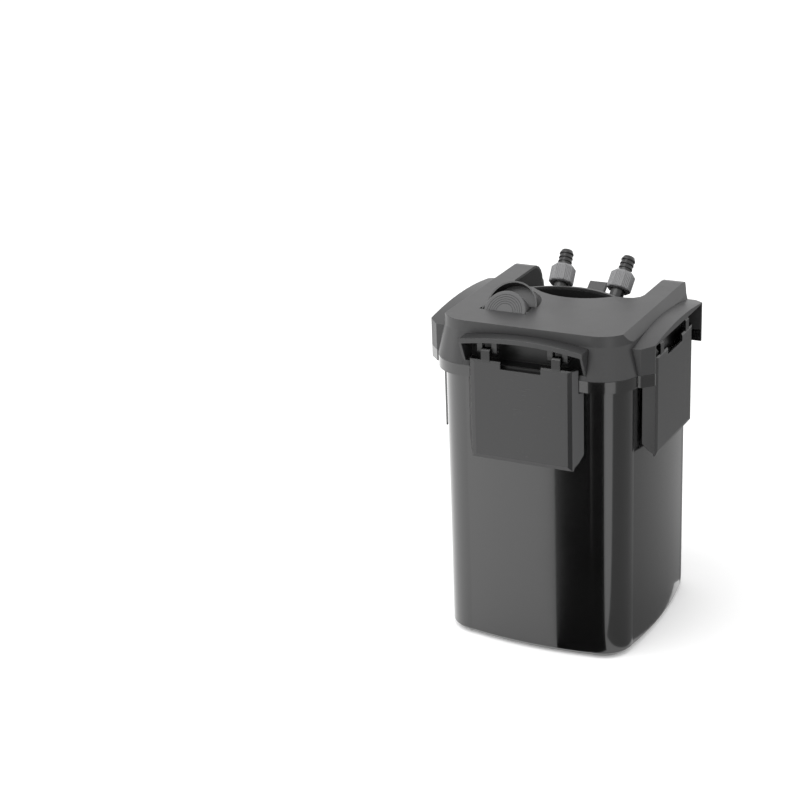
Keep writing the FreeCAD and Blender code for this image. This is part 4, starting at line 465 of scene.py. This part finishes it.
def rib_tree(material):
    """Rows of round ribs, one row on each flat of a many-sided nut, joined to the nut."""
    tree, names, given, result = shape_tree("grip_ribs", (
        ("Flats", "NodeSocketInt", NUT_FLATS), ("Ribs", "NodeSocketInt", 5),
        ("Flat Distance", "NodeSocketFloat", 0.0129), ("Pitch", "NodeSocketFloat", 0.002),
        ("Rib Radius", "NodeSocketFloat", 0.0006), ("Low", "NodeSocketFloat", 0.001),
        ("High", "NodeSocketFloat", 0.0155)))
    low = add(tree, "ShaderNodeCombineXYZ", Z=given["Low"])
    high = add(tree, "ShaderNodeCombineXYZ", Z=given["High"])
    line = add(tree, "GeometryNodeCurvePrimitiveLine", Start=low.outputs[0], End=high.outputs[0])
    rod = round_rod(tree, line.outputs["Curve"], sides=10, radius=given["Rib Radius"])

    run = maths(tree, "MULTIPLY", maths(tree, "SUBTRACT", given["Ribs"], 1.0), given["Pitch"])
    start = add(tree, "ShaderNodeCombineXYZ", X=given["Flat Distance"], Y=maths(tree, "MULTIPLY", run, -0.5))
    step = add(tree, "ShaderNodeCombineXYZ", Y=given["Pitch"])
    spots = add(tree, "GeometryNodeMeshLine", Count=given["Ribs"], Start_Location=start.outputs[0],
                Offset=step.outputs[0])
    row = add(tree, "GeometryNodeInstanceOnPoints", Points=spots.outputs["Mesh"], Instance=rod)

    middle = add(tree, "GeometryNodeMeshLine", Count=given["Flats"], Offset=(0.0, 0.0, 0.0))
    count = add(tree, "GeometryNodeInputIndex").outputs[0]
    angle = maths(tree, "MULTIPLY", maths(tree, "DIVIDE", count, given["Flats"]), 2 * math.pi)
    turn = add(tree, "ShaderNodeCombineXYZ", Z=angle)
    around = add(tree, "GeometryNodeInstanceOnPoints", Points=middle.outputs["Mesh"],
                 Instance=realized(tree, row.outputs["Instances"]), Rotation=turn.outputs[0])
    solid = realized(tree, around.outputs["Instances"])
    both = tree.nodes.new("GeometryNodeJoinGeometry")
    tree.links.new(given["Geometry"], both.inputs[0])
    tree.links.new(solid, both.inputs[0])
    hand_out(tree, both.outputs["Geometry"], material, result)
    return tree, names


def grown_mesh(start, tree, names, sizes):
    """The plain mesh that a tree makes of a starting mesh."""
    piece = bpy.data.objects.new("plain", start)
    bpy.context.scene.collection.objects.link(piece)
    shape = piece.modifiers.new(tree.name, "NODES")
    shape.node_group = tree
    for label, value in sizes.items():
        shape[names[label]] = value
    bpy.context.view_layer.update()
    mesh = bpy.data.meshes.new_from_object(piece.evaluated_get(bpy.context.evaluated_depsgraph_get()))
    piece.modifiers.clear()
    bpy.data.objects.remove(piece)
    return mesh


def flat_piece(name, corners, material):
    """One flat polygon of the stage, with corners in metres."""
    mesh = bpy.data.meshes.new(name)
    mesh.from_pydata(corners, [], [tuple(range(len(corners)))])
    mesh.materials.append(material)
    made = bpy.data.objects.new(name, mesh)
    bpy.context.scene.collection.objects.link(made)
    return made


class FILTER_OT_stage(bpy.types.Operator):
    """Lays the pale floor and places the lights, the cards and the camera"""
    bl_idname = "filter.stage"
    bl_label = "Stage"

    def execute(self, context):
        stage = context.scene.filter_stage
        scene = context.scene
        scene.view_settings.view_transform = "Standard"
        made, tree = new_material("pale_floor")
        surface = add(tree, "ShaderNodeBsdfDiffuse", Color=shade((1.0, 1.0, 1.0), FLOOR_TONE))
        ray = add(tree, "ShaderNodeLightPath").outputs
        seen = maths(tree, "MAXIMUM", ray["Is Camera Ray"], ray["Is Glossy Ray"])
        glow = add(tree, "ShaderNodeEmission", Color=(1.0, 1.0, 1.0, 1.0),
                   Strength=maths(tree, "MULTIPLY", seen, stage.floor))
        whole = add(tree, "ShaderNodeAddShader", i0=surface.outputs[0], i1=glow.outputs[0])
        add(tree, "ShaderNodeOutputMaterial", Surface=whole.outputs[0])
        corners = [(x * FLOOR_REACH, y * FLOOR_REACH, 0) for x, y in ((-1, -1), (1, -1), (1, 1), (-1, 1))]
        flat_piece("floor", corners, made)

        world = bpy.data.worlds.new("studio")
        scene.world = world
        world.use_nodes = True
        tree = world.node_tree
        tree.nodes.clear()
        back = add(tree, "ShaderNodeBackground", Color=(1.0, 1.0, 1.0, 1.0), Strength=stage.world)
        add(tree, "ShaderNodeOutputWorld", Surface=back.outputs[0])

        for name, share, place, size in LAMPS:
            lamp = bpy.data.lights.new(name, "AREA")
            lamp.energy = stage.key * share
            lamp.size = size
            made = bpy.data.objects.new(name, lamp)
            made.location = place
            made.rotation_euler = (LAMP_AIM - Vector(place)).to_track_quat("-Z", "Y").to_euler()
            scene.collection.objects.link(made)

        for name, tone, corners in CARDS:
            made, tree = new_material(name)
            surface = add(tree, "ShaderNodeBsdfDiffuse", Color=shade((1.0, 1.0, 1.0), tone))
            add(tree, "ShaderNodeOutputMaterial", Surface=surface.outputs[0])
            card = flat_piece(name, [Vector((*spot, CARD_HEIGHT)) * MM for spot in corners], made)
            # the cards are seen only in reflections: painted dark reflections
            card.visible_camera = False
            card.visible_diffuse = False
            card.visible_shadow = False

        data = bpy.data.cameras.new("camera")
        data.sensor_width = SENSOR_WIDTH
        data.lens = stage.lens
        data.clip_end = VIEW_REACH
        camera = bpy.data.objects.new("camera", data)
        camera.matrix_world = (Matrix.Translation(CAMERA_PLACE)
                               @ Matrix.Rotation(stage.azimuth, 4, "Z")
                               @ Matrix.Rotation(math.pi / 2 - stage.elevation, 4, "X")
                               @ Matrix.Rotation(stage.roll, 4, "Z"))
        scene.collection.objects.link(camera)
        scene.camera = camera
        return {"FINISHED"}


class FILTER_OT_housing(bpy.types.Operator):
    """Finishes the canister, the head cover and the feet"""
    bl_idname = "filter.housing"
    bl_label = "Housing"

    def execute(self, context):
        colours = context.scene.filter_colours
        dress(plastic("canister_gloss", colours.canister, 0.2, grain=0.04, grain_step=2.0, polish=0.9,
                      level=0.6, wear=0.15, drift=0.2), "canister")
        # painted shade on the head mouldings: faces that look down drop to 0.15 of the colour, and the rooms
        # behind the latch tops turn nearly black
        dress(plastic("head_satin", colours.head, 0.36, grain=0.3, grain_step=0.7, level=0.6,
                      toward=((DOWN, 0.2, 0.7, 0.15),), dim=(FRONT_ROOM, RIGHT_ROOM, LEFT_ROOM)),
              "head_cover", "left_hood", "right_hood", "front_visor")
        # painted shade: the bay and the scoop are near-black because they lie in shade
        dress(plastic("bay_painted_shade", colours.inside, 0.55, grain=0.4, grain_step=0.7, level=0.3, wear=0.1),
              "tap_bay")
        # painted shade on the knob collar in the near-black Inside colour, with a painted highlight on its
        # rim: faces along the knob's axis take nine times the colour
        dress(plastic("collar_shade_and_highlight", colours.inside, 0.35, grain=0.1, grain_step=0.9, level=0.5, wear=0.6,
                      toward=((KNOB_AXIS, 0.9, 0.98, 9.0),)), "knob_collar")
        dress(plastic("soft_rubber", colours.rubber, 0.7, grain=0.5, grain_step=0.5, level=0.35),
              "rubber_feet", "cable_gland", "head_gasket", "port_seals", "spigot_seals", "tube_seal",
              "piston_seal", "shaft_bushes")
        return {"FINISHED"}


class FILTER_OT_latches(bpy.types.Operator):
    """Finishes the three drop latches and their pins"""
    bl_idname = "filter.latches"
    bl_label = "Latches"

    def execute(self, context):
        colours = context.scene.filter_colours
        # painted highlight on the front latch: its faces that look front-right take 3.2 times the colour
        painted_bevel_highlight = (FRONT_RIGHT, 0.85, 0.95, 3.2)
        # painted shade on the side latches: their faces that look front take 0.3 of the colour
        painted_flank_shade = (FRONT, 0.8, 0.95, 0.3)
        for name, room, toward in (("front", FRONT_ROOM, painted_bevel_highlight), ("right", RIGHT_ROOM, painted_flank_shade),
                                   ("left", LEFT_ROOM, painted_flank_shade)):
            low, high = room
            # painted shade on the latch ears, in a box above the room behind the latch top
            ears = ((low[0], low[1], EARS_FROM), (high[0], high[1], high[2] + EARS_RISE))
            dress(plastic(f"{name}_latch_satin", colours.latch, 0.24, grain=0.2, grain_step=0.7, level=0.6,
                          wear=0.5, toward=(toward,), dim=(ears,)), f"{name}_latch")
        dress(metal("pin_steel", PIN_STEEL, 0.3), "latch_pins", "head_screws", "pump_cover_screws")
        return {"FINISHED"}


class FILTER_OT_priming(bpy.types.Operator):
    """Finishes the priming knob and its pump and winds the spring"""
    bl_idname = "filter.priming"
    bl_label = "Priming Knob"

    def execute(self, context):
        colours = context.scene.filter_colours
        sizes = context.scene.filter_sizes
        grooves = (KNOB_FACE, KNOB_AXIS, RINGS_FROM, RINGS_TO, sizes.ring_pitch)
        dress(plastic("knob_satin", colours.knob, 0.4, grain=0.2, grain_step=0.6, grooves=grooves),
              "priming_knob")
        dress(plastic("inner_moulding", colours.inner, 0.5, grain=0.3, grain_step=0.8),
              "priming_barrel", "priming_piston", "head_base", "pump_cover", "intake_tube")
        steel = metal("spring_steel", WIRE_STEEL, 0.25)
        dress(steel, "priming_spring")
        mesh = grown_mesh(bpy.data.meshes.new("start"), *coil_tree(steel), {
            "Turns": sizes.spring_turns, "Coil Radius": sizes.spring_radius, "Wire Radius": sizes.spring_wire,
            "Length": sizes.spring_length})
        mesh.transform(Matrix.Translation(SPRING_FOOT) @ Matrix.Rotation(KNOB_TILT, 4, "X"))
        coil = new_piece("priming_coil", mesh, "root", "priming_spring")
        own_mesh(coil)
        return {"FINISHED"}


class FILTER_OT_taps(bpy.types.Operator):
    """Finishes the tap set and makes the ribbed hose nuts"""
    bl_idname = "filter.taps"
    bl_label = "Tap Set"

    def execute(self, context):
        colours = context.scene.filter_colours
        sizes = context.scene.filter_sizes
        dress(plastic("fitting_gloss", colours.fitting, 0.28, grain=0.1, grain_step=1.0, level=0.6),
              "tap_block", "left_spigot", "right_spigot")
        dress(plastic("lever_satin", colours.lever, 0.4, grain=0.2, grain_step=0.6), "tap_lever")
        dress(plastic("white_moulding", colours.white, 0.4, grain=0.1, drift=0.03, wear=0.0),
              "valve_plugs", "plug_seats", "impeller")
        finish = plastic("nut_satin", colours.nut, 0.38, grain=0.15, grain_step=0.6, drift=0.06)
        tree, names = rib_tree(finish)
        corner = sizes.nut_radius
        top = sizes.nut_length
        outside = [(corner - NUT_FOOT_BEVEL, 0.0), (corner, NUT_FOOT_BEVEL), (corner, top - NUT_TOP_BEVEL),
                   (corner - NUT_TOP_BEVEL, top)]
        inside = [(sizes.nut_recess, top), (sizes.nut_recess, NUT_SEAT), (sizes.nut_bore, NUT_SEAT),
                  (sizes.nut_bore, 0.0)]
        ribs = {"Ribs": sizes.rib_count, "Flat Distance": corner * math.cos(math.pi / NUT_FLATS),
                "Pitch": sizes.rib_pitch, "Rib Radius": sizes.rib_width / 2, "Low": RIB_START,
                "High": top - RIB_STOP}
        for name, side in (("left", -1), ("right", 1)):
            mesh = grown_mesh(nut_form(outside, inside), tree, names, ribs)
            mesh.transform(spigot_place(side))
            new_piece(f"{name}_ribbed_nut", mesh, f"{name}_nut", f"{name}_nut")
        return {"FINISHED"}


class FILTER_OT_pump(bpy.types.Operator):
    """Finishes the motor, rotor and shaft"""
    bl_idname = "filter.pump"
    bl_label = "Pump"

    def execute(self, context):
        dress(plastic("potting_resin", RESIN, 0.2, polish=0.6, level=0.5), "motor_block")
        dress(plastic("ground_ferrite", FERRITE, 0.45, grain=0.4, grain_step=0.4), "rotor_magnet")
        dress(plastic("shaft_ceramic", CERAMIC, 0.15, drift=0.02, wear=0.0), "impeller_shaft")
        return {"FINISHED"}


class FILTER_OT_media(bpy.types.Operator):
    """Finishes the baskets, their handles and what they hold"""
    bl_idname = "filter.media"
    bl_label = "Baskets and Media"

    def execute(self, context):
        colours = context.scene.filter_colours
        dress(plastic("basket_moulding", colours.basket, 0.45, grain=0.3, grain_step=0.8),
              "media_basket_1", "media_basket_2", "media_basket_3", "strainer_lid")
        dress(plastic("handle_moulding", colours.handle, 0.45, grain=0.2),
              "basket_handle_1", "basket_handle_2", "basket_handle_3")
        dress(foam("coarse_foam", SPONGE_BLUE, cell=2.4, depth=1.2), "coarse_sponge")
        dress(foam("ceramic_fill", FILL_BEIGE, cell=9.0, depth=4.0), "ceramic_media")
        dress(foam("white_floss", colours.floss, cell=1.2, depth=0.6), "fine_floss")
        return {"FINISHED"}


class FILTER_PT_panel(bpy.types.Panel):
    """Sidebar panel with one button for each group of pieces"""
    bl_idname = "FILTER_PT_panel"
    bl_label = "Canister Filter"
    bl_space_type = "VIEW_3D"
    bl_region_type = "UI"
    bl_category = "Filter"

    def draw(self, context):
        for step in STEPS:
            self.layout.operator(step.bl_idname)
        for group in (context.scene.filter_colours, context.scene.filter_sizes, context.scene.filter_stage):
            for name in group.__annotations__:
                self.layout.prop(group, name)


STEPS = (FILTER_OT_stage, FILTER_OT_housing, FILTER_OT_latches, FILTER_OT_priming, FILTER_OT_taps,
         FILTER_OT_pump, FILTER_OT_media)
CLASSES = (FilterColours, FilterSizes, FilterStage, *STEPS, FILTER_PT_panel)


def register():
    for made in CLASSES:
        bpy.utils.register_class(made)
    bpy.types.Scene.filter_colours = PointerProperty(type=FilterColours)
    bpy.types.Scene.filter_sizes = PointerProperty(type=FilterSizes)
    bpy.types.Scene.filter_stage = PointerProperty(type=FilterStage)


def unregister():
    del bpy.types.Scene.filter_colours
    del bpy.types.Scene.filter_sizes
    del bpy.types.Scene.filter_stage
    for made in reversed(CLASSES):
        bpy.utils.unregister_class(made)


def main():
    register()
    for step in (bpy.ops.filter.stage, bpy.ops.filter.housing, bpy.ops.filter.latches, bpy.ops.filter.priming,
                 bpy.ops.filter.taps, bpy.ops.filter.pump, bpy.ops.filter.media):
        step()


if __name__ == "__main__":
    main()
